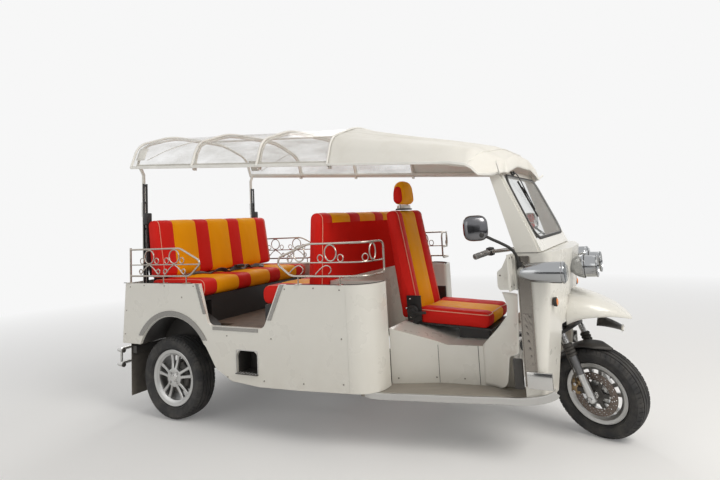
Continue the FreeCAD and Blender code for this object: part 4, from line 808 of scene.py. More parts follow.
def pad_rings(outline, half, edge, corner, columns, around):
    """Rings of a padded piece across the vehicle, drawn in at its ends, and the middle of its section."""
    loop = spaced(rounded([point(x, 0, z) for x, z in outline], corner, 6, True), around, True)
    centre = sum(loop, Vector()) / len(loop)
    normals = []
    for i in range(around):
        on = (loop[(i + 1) % around] - loop[i - 1]).normalized()
        out = Vector((on.z, 0, -on.x))
        normals.append(out if out.dot(loop[i] - centre) > 0 else -out)
    rings = []
    for y in columns:
        over = max(0.0, abs(y) - (half - edge)) / edge
        inset = edge * 0.55 * (1 - math.sqrt(max(0.0, 1 - over * over)))
        rings.append([p - n * inset + Vector((0, y, 0)) for p, n in zip(loop, normals)])
    return rings, centre


def pad_form(outline, half, edge, corner, seams, around, spacing):
    """A closed padded block whose columns follow its seams."""
    stops = sorted({-half, half, edge - half, half - edge, *seams, *(-s for s in seams)})
    columns = []
    for low, high in zip(stops, stops[1:]):
        near = 0.005 if high - low > 0.03 else 0
        inner = [low + near, high - near] if near else []
        count = max(1, round((high - low - 2 * near) / spacing))
        columns.append(low)
        if inner:
            columns += [inner[0] + (inner[1] - inner[0]) * k / count for k in range(count + 1)]
        else:
            columns += [low + (high - low) * k / 4 for k in range(1, 4)]
    columns.append(half)
    rings, centre = pad_rings(outline, half, edge, corner, columns, around)
    form = Form()
    for end, ring in ((-1, rings[0]), (1, rings[-1])):
        middle = centre + Vector((0, end * half, 0))
        inner = [[p.lerp(middle, t) for p in ring] for t in (0, 0.15, 0.32, 0.5, 0.7, 0.88)]
        form.skin(inner, wrap=True)
        form.add([*inner[-1], middle], [(i, (i + 1) % around, around) for i in range(around)])
    form.skin(rings, wrap=True)
    return form


def inflate(obj, pinned, cap, limits):
    """Swells a padded piece by cloth simulation held at its seams, and keeps how far each point may go."""
    rest = [v.co.copy() for v in obj.data.vertices]
    group = obj.vertex_groups.new(name="seams")
    group.add(pinned, 1.0, "REPLACE")
    cloth = obj.modifiers.new("Cloth", "CLOTH")
    settings = cloth.settings
    settings.vertex_group_mass = "seams"
    settings.quality = 5
    settings.mass = 0.3
    settings.tension_stiffness = settings.compression_stiffness = 12
    settings.shear_stiffness = 6
    settings.bending_stiffness = 1.2
    settings.use_pressure = True
    settings.uniform_pressure_force = 4.0
    settings.effector_weights.gravity = 0
    cloth.collision_settings.use_collision = False
    scene = bpy.context.scene
    for step in range(1, 21):
        scene.frame_set(step)
    graph = bpy.context.evaluated_depsgraph_get()
    swollen = [v.co.copy() for v in obj.evaluated_get(graph).data.vertices]
    obj.modifiers.remove(cloth)
    obj.vertex_groups.clear()
    scene.frame_set(1)
    for vertex, start, end in zip(obj.data.vertices, rest, swollen):
        push = end - start
        if push.length > cap:
            push *= cap / push.length
        vertex.co = limits(start + push)


def seam_line(mesh, at, normal):
    """The loop in which a plane cuts a mesh, as ordered points."""
    work = bmesh.new()
    work.from_mesh(mesh)
    cut = bmesh.ops.bisect_plane(work, geom=work.verts[:] + work.edges[:] + work.faces[:], plane_co=at,
                                 plane_no=normal)["geom_cut"]
    edges = [item for item in cut if isinstance(item, bmesh.types.BMEdge)]
    near = {}
    for edge in edges:
        for one, two in (edge.verts, reversed(edge.verts)):
            near.setdefault(one, []).append(two)
    start = min(near, key=lambda v: (round(v.co.x, 5), round(v.co.y, 5), round(v.co.z, 5)))
    line, before, here = [start.co.copy()], None, start
    while True:
        following = [v for v in near[here] if v is not before]
        if not following or following[0] is start or len(line) > len(near) + 2:
            break
        before, here = here, following[0]
        line.append(here.co.copy())
    work.free()
    return line


def sew(obj, seams, plain):
    """Draws in the panels along their seams, except where the cover is plain."""
    depth, width = 0.0035, 0.006
    normals = [v.normal.copy() for v in obj.data.vertices]
    for vertex, normal in zip(obj.data.vertices, normals):
        gap = min((abs(abs(vertex.co.y) - seam) for seam in seams), default=1)
        soft = noise.noise(Vector((vertex.co.x * 9, vertex.co.y * 22, vertex.co.z * 7))) * 0.0022
        pull = 0 if plain(vertex.co) else depth * math.exp(-(gap / width) ** 2)
        vertex.co -= normal * (pull - soft)


def pad(name, node, outline, half, edge, corner, seams, finishes, cap, limits=lambda p: p, around=72,
        shape=lambda p: p, spacing=0.018, plain=lambda p: False):
    """A stuffed seat piece with sewn panels. Where plain, its cover has the second finish and no seams."""
    form = pad_form(outline, half, edge, corner, seams, around, spacing)
    form.points = [shape(p) for p in form.points]
    obj = form.piece(name, finishes, "red_vinyl", [node], crease=60)
    held = [half - edge, *seams]
    pinned = [v.index for v in obj.data.vertices if abs(abs(v.co.y) - held[0]) < 0.0008
              or (min(abs(abs(v.co.y) - h) for h in held) < 0.0008 and not plain(v.co))]
    inflate(obj, pinned, cap, limits)
    obj.data.update()
    sew(obj, held, plain)
    for vertex in obj.data.vertices:
        vertex.co = limits(vertex.co)
    for face in obj.data.polygons:
        face.material_index = int(plain(face.center))
    fine = obj.modifiers.new("Smooth", "SUBSURF")
    fine.levels = fine.render_levels = 1
    bpy.context.view_layer.update()
    return obj


def pipe_along(name, obj, planes, radius=0.0030):
    """Piping where planes cut a padded piece."""
    graph = bpy.context.evaluated_depsgraph_get()
    mesh = bpy.data.meshes.new_from_object(obj.evaluated_get(graph))
    form = Form()
    for at, normal in planes:
        line = seam_line(mesh, Vector(at), Vector(normal))
        count = max(24, int(sum((a - b).length for a, b in zip(line, line[1:])) / 0.012))
        form.tube(spaced(line, count, True), radius, 0, 8, True)
    bpy.data.meshes.remove(mesh)
    return form.piece(name, ["piping"], "red_vinyl")


def make_benches(sizes):
    """The benches' cushions and backs, each held clear of the base, board or cushion beside it."""

    def keep_rear_cushion(p):
        roof = 0.9045 if p.x < ahead(-0.145) else 0.922
        return Vector((max(p.x, ahead(-0.270)), p.y, min(max(p.z, 0.7855), roof)))

    def keep_rear_back(p):
        board = ahead(-0.2796) - 0.065 * (p.z - 0.905)
        return Vector((max(p.x, board), p.y, max(p.z, 0.9056)))

    def keep_middle_cushion(p):
        return Vector((min(p.x, ahead(1.0448)), p.y, max(p.z, 0.7505)))

    def keep_middle_back(p):
        rear = ahead(1.0458) + 0.0727 * (p.z - 0.75) if p.z < 0.885 else -9
        return Vector((max(p.x, rear), p.y, max(p.z, 0.7502)))

    def faces_driver(p):
        return p.z < 1.226 and p.x > ahead(1.096) + 0.0727 * (p.z - 0.75)

    striped, edge = ["striped_vinyl"], 0.026
    for name, node, outline, half, corner, fill, keep in (
            ("rear_cushion", "rear_bench_cushion", [(-0.266, 0.785), (0.216, 0.785), (0.216, 0.900),
                                                    (-0.266, 0.900)],
             0.614, [0.03, 0.045, 0.045, 0.03], 0.75, keep_rear_cushion),
            ("rear_back", "rear_bench_back", [(-0.156, 0.909), (-0.212, 1.316), (-0.303, 1.316),
                                              (-0.277, 0.909)],
             0.614, [0.035, 0.04, 0.035, 0.02], 0.7, keep_rear_back),
            ("middle_cushion", "middle_bench_cushion",
             [(0.711, 0.751), (1.043, 0.751), (1.043, 0.866), (0.711, 0.866)],
             0.604, [0.045, 0.03, 0.03, 0.045], 0.75, keep_middle_cushion),
            ("middle_back", "middle_bench_back", [(1.049, 0.752), (1.089, 1.296), (1.171, 1.296),
                                                  (1.131, 0.752)],
             0.604, [0.02, 0.038, 0.038, 0.02], 0.7, keep_middle_back)):
        if name == "middle_back":
            padded = pad(name + "_vinyl", node, outline, half, edge, corner, STRIPES, [*striped, "red_vinyl"],
                         sizes.cushion_swell, keep, plain=faces_driver)
        else:
            padded = pad(name + "_vinyl", node, outline, half, edge, corner, STRIPES, striped,
                         sizes.cushion_swell, keep)
        pipe_along(name + "_piping", padded, end_planes(half - 0.025))


def end_planes(away):
    """The two planes across the vehicle at a distance from its middle."""
    return [((0, side * away, 0), (0, 1, 0)) for side in SIDES]


def make_driver_seat(sizes):
    """The driver's cushion, back and headrest."""
    swell = sizes.cushion_swell
    lean = 0.118 / 0.668

    def keep_cushion(p):
        floor = 0.606 - 0.024 * (p.x - ahead(1.595)) / 0.465 + 0.0004
        return Vector((max(p.x, ahead(1.5955)), p.y, max(p.z, floor)))

    def keep_back(p):
        foot = ahead(1.5942) if p.z < 0.72 else 9
        return Vector((min(p.x, foot), p.y, min(max(p.z, 0.6245), 1.2915)))

    def bolster(p):
        front = ahead(1.536) - lean * (p.z - 0.624)
        if p.x > front:
            p = p.copy()
            p.x += 0.012 * min(1, max(0, (abs(p.y) - 0.095) / 0.05)) - 0.010
        return p

    def dish(p):
        if p.z > 0.64:
            p = p.copy()
            p.z += 0.010 * min(1, max(0, (abs(p.y) - 0.10) / 0.06)) - 0.009
        return p

    cushion = pad("driver_cushion_vinyl", "driver_cushion", [(1.599, 0.606), (2.018, 0.584), (2.030, 0.676),
                                                             (1.599, 0.700)],
                  0.217, 0.022, [0.02, 0.034, 0.034, 0.022], SEAT_STRIPE, ["seat_vinyl"], swell,
                  keep_cushion, shape=dish, around=84, spacing=0.014)
    pipe_along("driver_cushion_piping", cushion, [(point(1.60, 0, 0.683), (0.055, 0, 1))], 0.0029)
    back = pad("driver_back_vinyl", "driver_back", [(1.481, 0.627), (1.590, 0.627), (1.478, 1.288),
                                                    (1.403, 1.288)],
               0.217, 0.022, [0.02, 0.03, 0.032, 0.03], SEAT_STRIPE, ["seat_vinyl"], swell, keep_back,
               shape=bolster, around=96, spacing=0.014)
    pipe_along("driver_back_piping", back, end_planes(0.190), 0.0029)
    pad("driver_headrest_vinyl", "driver_headrest", [(1.405, 1.326), (1.482, 1.326), (1.477, 1.482),
                                                     (1.411, 1.482)],
        0.118, 0.050, 0.036, REST_STRIPE, ["rest_vinyl"], swell, around=48, spacing=0.012,
        shape=lambda p: Vector((p.x, p.y * (1 - 0.50 * max(0, (p.z - 1.385) / 0.097) ** 2), p.z)))


def make_headrest_posts():
    """The blocks on top of the driver's back and the two posts that stand in them."""
    posts = Form()
    posts.block((0.052, 0.118, 0.028), placed(1.441, 0, 1.3095), 2, 0.009, 3)
    posts.block((0.056, 0.150, 0.010), placed(1.441, 0, 1.2965), 1, 0.004, 2)
    for side in SIDES:
        posts.tube([point(1.440, side * 0.060, 1.293), point(1.442, side * 0.060, 1.345)], 0.006, 0, 16)
        posts.lathe([(0, 0.006), (0, 0.013), (0.005, 0.012), (0.007, 0.006)],
                    placed(1.440, side * 0.060, 1.2925), 1, 20)
    posts.piece("headrest_posts", ["chrome", "black_plastic", "white_paint"], "chrome")


def make_recliner():
    """Discs, levers and bolts at both sides of the driver's seat."""
    recliner = Form()
    for side in SIDES:
        y = side * 0.243
        out = facing(point(1.565, y, 0.676), (0, side, 0))
        recliner.lathe([(0, 0), (0, 0.034), (0.004, 0.037), (0.007, 0.034), (0.007, 0.014), (0.012, 0.012),
                        (0.012, 0)], out, 0, 32)
        lever = [point(1.565, y + side * 0.010, 0.676), point(1.60, y + side * 0.014, 0.668),
                 point(1.655, y + side * 0.016, 0.672)]
        recliner.sweep(smooth_line(lever), slab_section(0.016, 0.008, 0.003), 0, (0, side, 0))
        for x, z in ((1.545, 0.745), (1.548, 0.640), (1.520, 0.690)):
            recliner.lathe([(0.006, 0), (0.0055, 0.004), (0.003, 0.0065), (0, 0.007)],
                           facing(point(x, side * 0.2345, z), (0, side, 0)), 1, 12)
    recliner.piece("seat_recliner_parts", ["black_plastic", "chrome"], "black_paint")


def make_belts():
    """A lap belt lying on the rear cushion, and the reels on the uprights' bars."""
    cushion = BVHTree.FromObject(bpy.data.objects["rear_cushion_vinyl"],
                                 bpy.context.evaluated_depsgraph_get())
    way = [(-0.150, -0.430), (-0.115, -0.330), (-0.070, -0.220), (-0.045, -0.140), (0.0, -0.07),
           (0.025, -0.01), (-0.010, 0.07), (-0.030, 0.140), (0.005, 0.20), (0.022, 0.250), (-0.05, 0.310),
           (-0.135, 0.33)]
    form = Form()
    line = []
    normals = []
    for i, p in enumerate(smooth_line([point(x, y, 0) for x, y in way], 10)):
        hit, normal, _, _ = cushion.ray_cast(Vector((p.x, p.y, 1.2)), -UP)
        roll = 1.15 * math.sin(i * 0.17) * math.sin(math.pi * min(1, i / 110))
        line.append(Vector((p.x, p.y, hit.z + 0.005 + 0.019 * abs(math.sin(roll)))))
        normals.append(normal * math.cos(roll) + Vector((math.sin(roll), 0, 0)))
    form.sweep(line, slab_section(0.040, 0.0075, 0.0025), 0, normals)
    tongue = Matrix.Translation(line[48] + UP * 0.012) @ Matrix.Rotation(1.3, 4, "Z")
    form.block((0.070, 0.046, 0.018), tongue, 1, 0.005, 3)
    form.block((0.012, 0.030, 0.004), tongue @ Matrix.Translation((-0.026, 0, 0.0095)), 2, 0.0015)
    form.piece("rear_lap_belt", ["webbing", "black_plastic", "red_lens"], "webbing")
    reels = Form()
    for side in SIDES:
        y = side * 0.598
        reels.block((0.034, 0.052, 0.085), placed(-0.3165, y, 1.330), 1, 0.008, 3)
        fall = [point(-0.3085, y, 1.29), point(-0.3065, y * 0.998, 1.15), point(-0.3005, y * 0.995, 1.02),
                point(-0.2825, y * 0.990, 0.93)]
        reels.sweep(smooth_line(fall), slab_section(0.045, 0.0016, 0.0005), 0, (1, 0, 0))
        reels.block((0.012, 0.040, 0.050), placed(-0.3045, y * 0.998, 1.13), 1, 0.004, 3)
    reels.piece("belt_reels", ["webbing", "black_plastic"], "webbing")
    bars = Form()
    for side in SIDES:
        for y in (0.6135, 0.5870):
            bars.block((0.009, 0.0135, 0.800), placed(-0.338, side * y, 1.186), 0, 0.002, 2)
        for z in (0.800, 1.02, 1.26, 1.45, 1.575):
            bars.block((0.006, 0.040, 0.012), placed(-0.338, side * 0.600, z), 0, 0.0015, 2)
    bars.piece("belt_upright_bars", ["black_paint"], "webbing", ["belt_uprights"])


# Roof

# The bows' distances ahead, and the sheets' stations: distance ahead, narrowing, drop and change of rise.
REAR_EDGE, JOINT = -0.412, 1.262
BOWS = (-0.380, 0.190, 0.745, JOINT, 1.900)
CLEAR = [(REAR_EDGE, 0, 0, 0), (JOINT, 0, 0, 0)]
CANVAS = [(1.2625, 0, 0, 0), (1.9, 0, 0, 0), (2.0, 0.006, -0.002, 0), (2.09, 0.016, 0.010, 0),
          (2.13, 0.046, 0.056, 0.0), (2.175, 0.110, 0.056, -0.010), (2.225, 0.180, 0.040, -0.034)]


def roof_edge(d):
    """Height of the roof rail, which falls towards the front."""
    return 1.684 - 0.084 * d


def canopy_station(d, narrow, drop, rise_change, count):
    """One cross section of the canopy, evenly spaced from its right edge to its left edge."""
    half = 0.664 - narrow
    base = roof_edge(d) - 0.012 - drop
    rise = 0.262 - max(0, d - JOINT) * 0.165 + 0.012 + drop + rise_change
    shape = [(-half, base), (-0.9 * half, base + 0.63 * rise), (-0.42 * half, base + rise),
             (0.42 * half, base + rise), (0.9 * half, base + 0.63 * rise), (half, base)]
    radii = [0, 0.56 * rise, 0.95 * half, 0.95 * half, 0.56 * rise, 0]
    line = rounded([point(d, y, z) for y, z in shape], radii, 16)
    return spaced(line, count)


def slack(d):
    """How far between two bows a place is, from 0 on a bow to 1 midway."""
    for low, high in zip(BOWS, BOWS[1:]):
        if low <= d <= high:
            return math.sin(math.pi * (d - low) / (high - low))
    return 0.0


def inward(row, d, share, wrinkle):
    """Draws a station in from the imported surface: a small inset, sag between bows, and folds."""
    inset = 0.0028
    count = len(row)
    moved = []
    for i, p in enumerate(row):
        on = (row[min(i + 1, count - 1)] - row[max(i - 1, 0)]).normalized()
        out = Vector((0, -on.z, on.y))
        t = i / (count - 1)
        # slack is least at the edges, which the hem holds, and over the ridge tube
        free = math.sin(math.pi * t) * (1 - 0.75 * math.exp(-((t - 0.5) / 0.05) ** 2))
        sag = share * free * slack(d)
        fold = wrinkle(d, t) * math.sin(math.pi * t) ** 0.5
        moved.append(p - out * (inset + sag + fold))
    return moved


def canopy_rows(stations, steps, count, share, wrinkle):
    """Rows of points over the canopy between its stations."""
    rows = []
    for (d0, *one), (d1, *two) in zip(stations, stations[1:]):
        number = max(1, round((d1 - d0) / steps))
        for k in range(number):
            t = k / number
            d = d0 + (d1 - d0) * t
            values = [a + (b - a) * t for a, b in zip(one, two)]
            rows.append(inward(canopy_station(d, *values, count), d, share, wrinkle))
    d, *last = stations[-1]
    rows.append(inward(canopy_station(d, *last, count), d, share, wrinkle))
    return rows


def clear_fold(d, t):
    """Soft ripples in the clear part, more of them towards its rear end."""
    wave = noise.noise(Vector((d * 2.2, t * 9, 3.1))) * 0.004
    return abs(wave) + 0.0012 * (1 + math.sin(31 * t + 3 * d)) * slack(d)


def canvas_fold(d, t):
    """Long folds that run forward in the canvas."""
    wave = noise.noise(Vector((d * 1.3, t * 17, 8.7))) * 0.016
    tight = 1 if d < 2.1 else 0.6
    return (abs(wave) + 0.0022 * (1 + math.sin(47 * t + 2.2 * d))) * (0.4 + 0.6 * slack(d)) * tight


def over_canopy(d, t, lift=0.004, narrow=0.0, drop=0.0, rise_change=0.0):
    """A point just outside the canopy at a share of the way across."""
    row = canopy_station(d, narrow, drop, rise_change, 161)
    i = min(160, max(0, round(t * 160)))
    on = (row[min(i + 1, 160)] - row[max(i - 1, 0)]).normalized()
    return row[i] + Vector((0, -on.z, on.y)) * lift


def make_canopy(sizes):
    """The clear and the canvas sheet, their piping and patches."""
    form = Form()
    form.skin(canopy_rows(CLEAR, 0.025, 121, 0.003, clear_fold))
    clear = form.piece("canopy_clear_sheet", ["clear_sheet"], "clear_sheet", ["canopy_clear"], crease=60,
                       thick=0.0012)
    form = Form()
    rows = canopy_rows(CANVAS, 0.020, 121, 0.004, canvas_fold)
    front = rows[-1]
    foot = front[0].z
    # the sheet rolls over at the front into a short visor
    for k in range(1, 11):
        turn = math.pi / 2 * k / 10
        over, down = 0.018 * math.sin(turn), 1 - math.cos(turn)
        rows.append([Vector((p.x + over, p.y, p.z - min(0.072, p.z - foot) * down)) for p in front])
    form.skin(rows)
    canvas = form.piece("canopy_canvas_sheet", ["canvas"], "canvas", ["canopy_canvas"], crease=60,
                        thick=0.0018)
    make_canopy_trim(sizes.hem_width)


def make_canopy_trim(hem):
    """Hems along both edges, piping on the rear edge and over the bows, seams and the corners' patches."""
    trim = Form()
    for edge in (0, 1):
        lower = [over_canopy(REAR_EDGE + 1.672 * k / 40, edge, -0.001) + UP * 0.003 for k in range(41)]
        trim.sweep(lower, slab_section(hem, 0.021, 0.002), 0, UP)
        places = [JOINT + 0.976 * k / 36 for k in range(37)]
        lower = [over_canopy(d, edge, -0.001, *front_values(d)) + UP * 0.002 for d in places]
        trim.sweep(lower, slab_section(hem, 0.015, 0.002), 0, UP)
    for d, radius in ((-0.409, 0.0085), (0.190, 0.0080), (0.745, 0.0080), (JOINT, 0.0060)):
        trim.tube([over_canopy(d, k / 96, 0.0005) for k in range(97)], radius, 0, 10)
    for edge, name in ((0, "right"), (1, "left")):
        seam = [(-0.26, 0.040), (-0.08, 0.085), (0.09, 0.135), (0.185, 0.165)]
        trim.tube(smooth_line([over_canopy(d, abs(edge - t), 0.001) for d, t in seam], 8), 0.003, 0, 8)
        rows = [[over_canopy(-0.375 + 0.085 * a / 4, abs(edge - 0.035 - 0.062 * b / 4), 0.0022)
                 for b in range(5)]
                for a in range(5)]
        patch = Form()
        patch.skin(rows)
        patch.piece("canopy_patch_" + name, ["canvas"], "canvas", thick=0.0014)
    trim.piece("canopy_piping", ["hem_tape"], "canvas")
    # a bead on the left patch's front edge, and the seam behind the visor's roll
    brim = Form()
    brim.tube(rows[-1], 0.0042, 0, 8)
    seam = []
    for k in range(61):
        d = 2.075 + 0.120 * math.sin(math.pi * k / 60) ** 0.7
        seam.append(over_canopy(d, k / 60, 0.0008, *front_values(d)))
    brim.tube(seam, 0.0024, 0, 8)
    brim.piece("canopy_visor_piping", ["hem_tape"], "canvas")


def front_values(d):
    """The canvas's narrowing, drop and change of rise at a place along it."""
    for (d0, *one), (d1, *two) in zip(CANVAS, CANVAS[1:]):
        if d0 <= d <= d1:
            t = (d - d0) / (d1 - d0)
            return [a + (b - a) * t for a, b in zip(one, two)]
    return [0, 0, 0]


def make_roof_fittings():
    """Clamps that hold the bows on the rails, and sleeves on the rear posts."""
    form = Form()
    for side in SIDES:
        for d in BOWS[1:4]:
            place = facing(point(d, side * 0.630, roof_edge(d)), (1, 0, -0.084))
            form.lathe([(-0.016, 0.0142), (-0.016, 0.0185), (0.016, 0.0185), (0.016, 0.0142)], place, 0, 24,
                       True)
            form.block((0.010, 0.030, 0.020), placed(d, side * 0.630, roof_edge(d) - 0.024), 0)
            form.lathe([(0, 0), (0, 0.006), (0.005, 0.006), (0.006, 0.004), (0.006, 0)],
                       facing(point(d, side * 0.645, roof_edge(d) - 0.026), (0, side, 0)), 1, 6)
        sleeve = placed(-0.355, side * 0.598, 1.40)
        form.lathe([(-0.05, 0.0122), (-0.05, 0.0165), (0.05, 0.0165), (0.055, 0.0122)], sleeve, 1, 24, True)
    form.piece("roof_clamps", ["white_paint", "chrome"], "white_paint")


# Side rails

def scroll(form, x, y, z, turn, reach, drop, radius):
    """One curl of flat bar below a rail's middle bar."""
    line = []
    for k in range(26):
        t = k / 25
        if t < 0.55:
            u = t / 0.55
            line.append(Vector((x + turn * reach * u, y, z - drop * (u ** 1.4))))
        else:
            angle = (t - 0.55) / 0.45 * 1.5 * math.pi
            size = 0.020 * (1 - 0.45 * (t - 0.55) / 0.45)
            centre = Vector((x + turn * reach, y, z - drop + 0.020))
            line.append(centre + Vector((turn * math.sin(angle) * size, 0, -math.cos(angle) * size)))
    form.tube(line, radius, 0, 8)


def rail_motif(form, x, y, mid, top):
    """A ring with two small rings beside it, and scrolls below."""
    form.tube([(x + u, y, z) for u, z in oval(0.045, 0.045, (mid + top) / 2, 40)], 0.0042, 0, 10, True)
    for turn in (-1, 1):
        small = oval(0.019, 0.019, mid + 0.026, 24)
        form.tube([(x + turn * 0.071 + u, y, z) for u, z in small], 0.0032, 0, 8, True)
        scroll(form, x + turn * 0.008, y, mid - 0.006, turn, 0.075, 0.058, 0.0042)


def make_rails(sizes):
    """The near side's rails, drawn once and mirrored."""
    radius = sizes.rail_radius
    top, mid, low = 1.117, 1.011, 0.935
    y = -0.706
    rear = Form()
    loop = rounded([point(-0.366, y, top), point(0.115, y, top), point(0.312, y, mid + 0.014),
                    point(0.200, y, low), point(-0.366, y, low)], [0.03, 0.13, 0.026, 0.09, 0.03], 8)
    rear.tube(loop, radius, 0, 14)
    rear.tube([point(-0.366, y, mid), point(0.298, y, mid)], radius - 0.002, 0, 12)
    rear.tube([point(-0.366, y, BODY_TOP - 0.001), point(-0.366, y, top + 0.012)], radius + 0.001, 0, 14)
    for x in (-0.040, 0.170):
        rear.tube([point(x, y, BODY_TOP - 0.001), point(x, y, low)], radius - 0.002, 0, 12)
    for x in (-0.366, -0.040, 0.170):
        rear.lathe([(0, 0.026), (0.0025, 0.026), (0.004, 0.018), (0.004, 0)], placed(x, y, BODY_TOP), 0, 24)
    for x in (-0.177, 0.061):
        rail_motif(rear, ahead(x), y, mid, top)
    rear.mirrored().piece("side_rails_rear_tubes", ["rail_chrome"], "chrome", ["side_rails_rear"])

    front = Form()
    end_x, across = 1.513, y + 0.210
    corner = [(end_x, across), (end_x - 0.006, y + 0.085), (end_x - 0.045, y + 0.020), (end_x - 0.120, y)]

    def round_corner(height, reach):
        line = smooth_line([point(cx, cy, height) for cx, cy in corner], 8)
        return line + [point(reach, y, height)]

    bend = round_corner(top, 1.134)
    post = [point(end_x, across, low + 0.040), point(end_x, across, top), bend[9]]
    high = rounded(post, [0, 0.036, 0], 8) + bend[10:]
    low_line = list(reversed(round_corner(low, 1.010)))
    turned = rounded([low_line[-8], low_line[-1], point(end_x, across, low + 0.040)], [0, 0.030, 0], 8)
    low_line = low_line[:-8] + turned
    tip_line = rounded([high[-2], point(1.134, y, top), point(0.931, y, mid + 0.034),
                        point(0.915, y, mid - 0.006), point(1.010, y, low), low_line[1]],
                       [0, 0.12, 0.03, 0.03, 0.10, 0], 8)
    front.tube(high[:-1] + tip_line[1:-1] + low_line[1:], radius, 0, 14)
    front.tube(round_corner(mid, 0.922), radius - 0.002, 0, 12)
    for x in (1.060, 1.340):
        front.tube([point(x, y, BODY_TOP - 0.001), point(x, y, low)], radius - 0.002, 0, 12)
        front.lathe([(0, 0.022), (0.0025, 0.022), (0.004, 0.016), (0.004, 0)], placed(x, y, BODY_TOP), 0, 24)

    path = spaced(round_corner(mid, 0.922), 200)

    def along_path(share, shape):
        """A flat shape set upright on the middle bar, which bends round the corner."""
        i = round(share * 199)
        on = (path[min(199, i + 2)] - path[i - 2]).normalized()
        return [Vector((path[i].x, path[i].y, z)) + on * u for u, z in shape]

    ring = oval(0.038, 0.045, (mid + top) / 2, 40)
    thin = oval(0.026, 0.045, (mid + top) / 2, 40)
    small = oval(0.018, 0.020, mid + 0.024, 24)
    for share, shape, size in ((0.520, ring, 0.0042), (0.430, small, 0.0032), (0.610, small, 0.0032),
                               (0.165, thin, 0.0042), (0.235, small, 0.0032), (0.800, ring, 0.0042),
                               (0.890, small, 0.0032)):
        front.tube(along_path(share, shape), size, 0, 10, True)
    hook = [(0.075, low + 0.010), (0.050, low + 0.032), (0.022, low + 0.052), (-0.004, low + 0.060),
            (-0.026, low + 0.050), (-0.030, low + 0.028), (-0.014, low + 0.012)]
    for share in (0.560, 0.810):
        front.tube(smooth_line(along_path(share, hook), 5), 0.0032, 0, 8)
    front.mirrored().piece("side_rails_front_tubes", ["rail_chrome"], "chrome", ["side_rails_front"])


# Front end

def screen_point(up, side, out=0.0):
    """A point of the windscreen's plane: up its slope from the foot, to the side, and out of it."""
    lean = math.radians(23.6)
    return point(2.363 - up * math.sin(lean) + out * math.cos(lean), side,
                 1.091 + up * math.cos(lean) + out * math.sin(lean))


def make_windscreen():
    """The pane, its seal with a pale bead, and the wiper."""
    form = Form()
    tall, foot, head = 0.380, 0.457, 0.425
    out = screen_point(0, 0, 1) - screen_point(0, 0)
    for inset, lift, section, kind in ((-0.003, 0.002, slab_section(0.013, 0.011, 0.004), 0),
                                       (-0.0115, 0.003, slab_section(0.004, 0.008, 0.0015), 1)):
        loop = rounded([screen_point(up, side, lift) for up, side in (
            (-inset, -foot - inset), (-inset, foot + inset), (tall + inset, head + inset),
            (tall + inset, -head - inset))], 0.088, 10, True)
        form.sweep(loop, section, kind, out, True)
    form.piece("windscreen_seal", ["black_rubber", "grip_grey"], "black_rubber")
    pane = Form()
    rows = []
    for up in np.linspace(0.004, 0.376, 15):
        half = 0.455 - 0.032 * up / 0.376 - 0.006 * (abs(up - 0.19) / 0.186) ** 6
        rows.append([screen_point(up, half * u, 0.004 * (1 - u * u)) for u in np.linspace(-1, 1, 31)])
    pane.skin(rows)
    pane.piece("windscreen_pane", ["clear_glass"], "clear_glass", ["windscreen_glass"], thick=0.004)
    wiper = Form()
    pivot = screen_point(0.394, -0.200, 0.003)
    wiper.lathe([(-0.002, 0.015), (0.006, 0.015), (0.010, 0.011), (0.018, 0.010), (0.021, 0.007), (0.021, 0)],
                facing(pivot, out), 0, 24)
    arm = [pivot + out * 0.017, screen_point(0.36, -0.190, 0.027), screen_point(0.235, -0.164, 0.019)]
    wiper.sweep(smooth_line(arm), slab_section(0.011, 0.005, 0.0015), 0, out)
    low, high = screen_point(0.120, -0.150, 0.009), screen_point(0.345, -0.176, 0.009)
    wiper.sweep([low, high], slab_section(0.0035, 0.010, 0.001), 1, out)
    wiper.sweep([low.lerp(high, 0.18) + out * 0.006, low.lerp(high, 0.5) + out * 0.010,
                 low.lerp(high, 0.82) + out * 0.006], slab_section(0.007, 0.005, 0.001), 0, out)
    wiper.piece("wiper_parts", ["black_paint", "black_rubber"], "black_paint", ["wiper"])


def make_headlamps():
    """Bowls with bulbs, rim screws and gaskets, and the glasses before them."""
    form = Form()
    lens = Form()
    for side in SIDES:
        place = facing(point(2.491, side * 0.132, 0.926), (1, 0, 0))
        shell = [(-0.040, 0.030), (-0.012, 0.036), (0.0, 0.048), (0.020, 0.058), (0.040, 0.0625),
                 (0.044, 0.0635), (0.049, 0.0635), (0.052, 0.0605), (0.054, 0.0575), (0.108, 0.0565),
                 (0.111, 0.0580), (0.1155, 0.0575), (0.116, 0.054), (0.112, 0.052), (0.090, 0.050),
                 (0.062, 0.040), (0.050, 0.022), (0.048, 0.0), (-0.040, 0.0)]
        form.lathe(shell, place, 0, 64)
        form.lathe([(0.048, 0), (0.062, 0.009), (0.074, 0.0105), (0.083, 0.007), (0.085, 0)], place, 1, 24)
        for turn in (0.8, 2.6, 4.4):
            spot = place @ Matrix.Translation((*polar(0.0615, turn), 0.0465))
            form.lathe([(0.003, 0), (0.0025, 0.003), (0, 0.004)], spot, 1, 10)
        lens.lathe([(0.104, 0.0), (0.1035, 0.030), (0.100, 0.0525), (0.096, 0.0525), (0.0985, 0.030),
                    (0.099, 0)],
                   place, 0, 48)
        form.lathe([(0.0495, 0.0638), (0.0520, 0.0612), (0.0535, 0.0583), (0.0505, 0.0600)], place, 2, 48,
                   ring=True)
        form.lathe([(0.1085, 0.0572), (0.1095, 0.0588), (0.1105, 0.0588), (0.1110, 0.0572)], place, 2, 48,
                   ring=True)
    form.piece("headlamp_shells", ["lamp_chrome", "bright_steel", "black_rubber"], "chrome", ["headlamps"])
    lens.piece("headlamp_glasses", ["lamp_glass"], "clear_glass", ["headlamp_lenses"])


